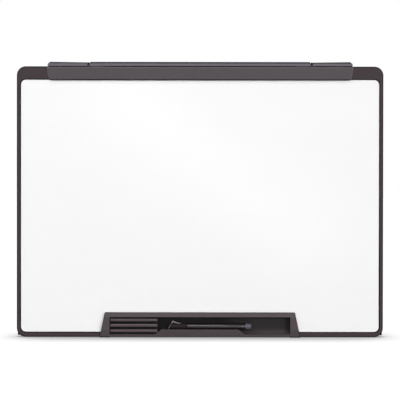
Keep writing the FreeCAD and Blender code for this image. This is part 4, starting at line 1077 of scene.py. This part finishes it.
made = bmesh.new()
fin_foot = FIN_PEAK_RUN * cap_radius / (cap_radius + peak_rise) + EDGE_ROUND
fin_outline = [
    (fin_foot, 0), (FIN_END_RUN, 0), (FIN_END_RUN, FIN_END_RISE), (FIN_WAIST_RUN, FIN_WAIST_RISE),
    (FIN_PEAK_RUN, peak_rise),
]
fin_start = Vector((cap_low.x, marker_y - FIN_HALF_THICK * MM, marker_z))
corners = [made.verts.new(fin_start + Vector((x, 0, z))) for x, z in in_metres(fin_outline)]
made.faces.new(corners)
*_, waist, peak = corners
for corner, radius in ((waist, WAIST_ROUND), (peak, PEAK_ROUND)):
    bmesh.ops.bevel(
        made, geom=[corner], offset=radius * MM, offset_type="OFFSET", segments=CORNER_SEGMENTS,
        profile=0.5, affect="VERTICES", material=-1,
    )
draw_out(made, Y_WAY * (2 * FIN_HALF_THICK * MM))
soften(made, FIN_BEVEL * MM, segments=1)
finish_piece("marker_cap_fin", made, fin_satin, "marker_cap", "marker_plastic", "marker_cap")

# %% [markdown]
# ## Eraser felt
# The wiping face is a block of pressed wool felt, glued to the grip. Felt is cut with a knife and
# then swells a little, so the block's free face is crowned and its sides draw in at the middle. Felt
# this firm hardly moves, so its points are moved by a formula and not by a cloth simulation.

# %% Eraser felt
FELT_CUTS = 16
FELT_CROWN = 1.1 * MM
FELT_PULL = 0.5 * MM
FELT_ROUND = 0.8 * MM

felt_low, felt_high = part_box("eraser_felt")
felt_middle = (felt_low + felt_high) / 2
felt_half = (felt_high - felt_low) / 2
made = bmesh.new()
bmesh.ops.create_cube(made, size=2)
bmesh.ops.subdivide_edges(made, edges=made.edges, cuts=FELT_CUTS, use_grid_fill=True)
for vert in made.verts:
    # u and v run along the face, and w leads from the grip to the free face, each from -1 to 1.
    u, w, v = vert.co
    pull = FELT_PULL * (1 + w) / 2
    crown = FELT_CROWN * (u * u + v * v) / 2 * (1 + w) / 2
    vert.co.x = felt_middle.x + u * (felt_half.x - pull * (1 - v * v))
    vert.co.y = felt_middle.y + w * felt_half.y - crown
    vert.co.z = felt_middle.z + v * (felt_half.z - pull * (1 - u * u))
soften(made, FELT_ROUND)
felt_pad = finish_piece("eraser_felt_pad", made, felt, "eraser", "felt", "eraser_felt")

# %% [markdown]
# ## Rubber pads
# The pads under the feet, on the hooks and under the handle are moulded rubber with ribs across,
# which grip and give a little. The ribs could be a bump, but they show in the outline, so each pad is
# an outline with a row of grooves, drawn out to its width.

# %% Rubber pads
GROOVE_SHARE = 0.4
GROOVE_DEPTH_SHARE = 0.35
PAD_ROUND = 0.15 * MM
FOOT_RIB_MM = 3.6
HOOK_RIB_MM = 2.1
HANDLE_RIB_MM = 4
X, Y, Z = range(3)


def ribbed_pad(name, body, run, face, outward, pitch_mm):
    """A pad with grooves along one axis, whose ribs face along another, up or down it."""
    low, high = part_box(name)
    seat, free = (low[face], high[face]) if outward > 0 else (high[face], low[face])
    sunk = free + (seat - free) * GROOVE_DEPTH_SHARE
    count = round((high[run] - low[run]) / (pitch_mm * MM))
    pitch = (high[run] - low[run]) / count
    outline = [(low[run], seat), (low[run], free)]
    for groove in range(1, count):
        centre = low[run] + pitch * groove
        half = pitch * GROOVE_SHARE / 2
        outline += [(centre - half, free), (centre - half / 2, sunk), (centre + half / 2, sunk)]
        outline.append((centre + half, free))
    outline += [(high[run], free), (high[run], seat)]
    made = bmesh.new()
    corners = []
    for along, height in outline:
        corner = Vector(low)
        corner[run] = along
        corner[face] = height
        corners.append(made.verts.new(corner))
    made.faces.new(corners)
    across = X + Y + Z - run - face
    width = Vector()
    width[across] = high[across] - low[across]
    draw_out(made, width)
    soften(made, PAD_ROUND)
    finish_piece(f"{name}_ribbed", made, rubber, body, "rubber", name)


for side, outward in (("left", -1), ("right", 1)):
    ribbed_pad(f"foot_pad_{side}", f"foot_{side}", Y, Z, -1, FOOT_RIB_MM)
    ribbed_pad(f"hook_pad_{side}", f"hook_{side}", Z, X, outward, HOOK_RIB_MM)
ribbed_pad("handle_grip_pad", "handle", X, Z, -1, HANDLE_RIB_MM)
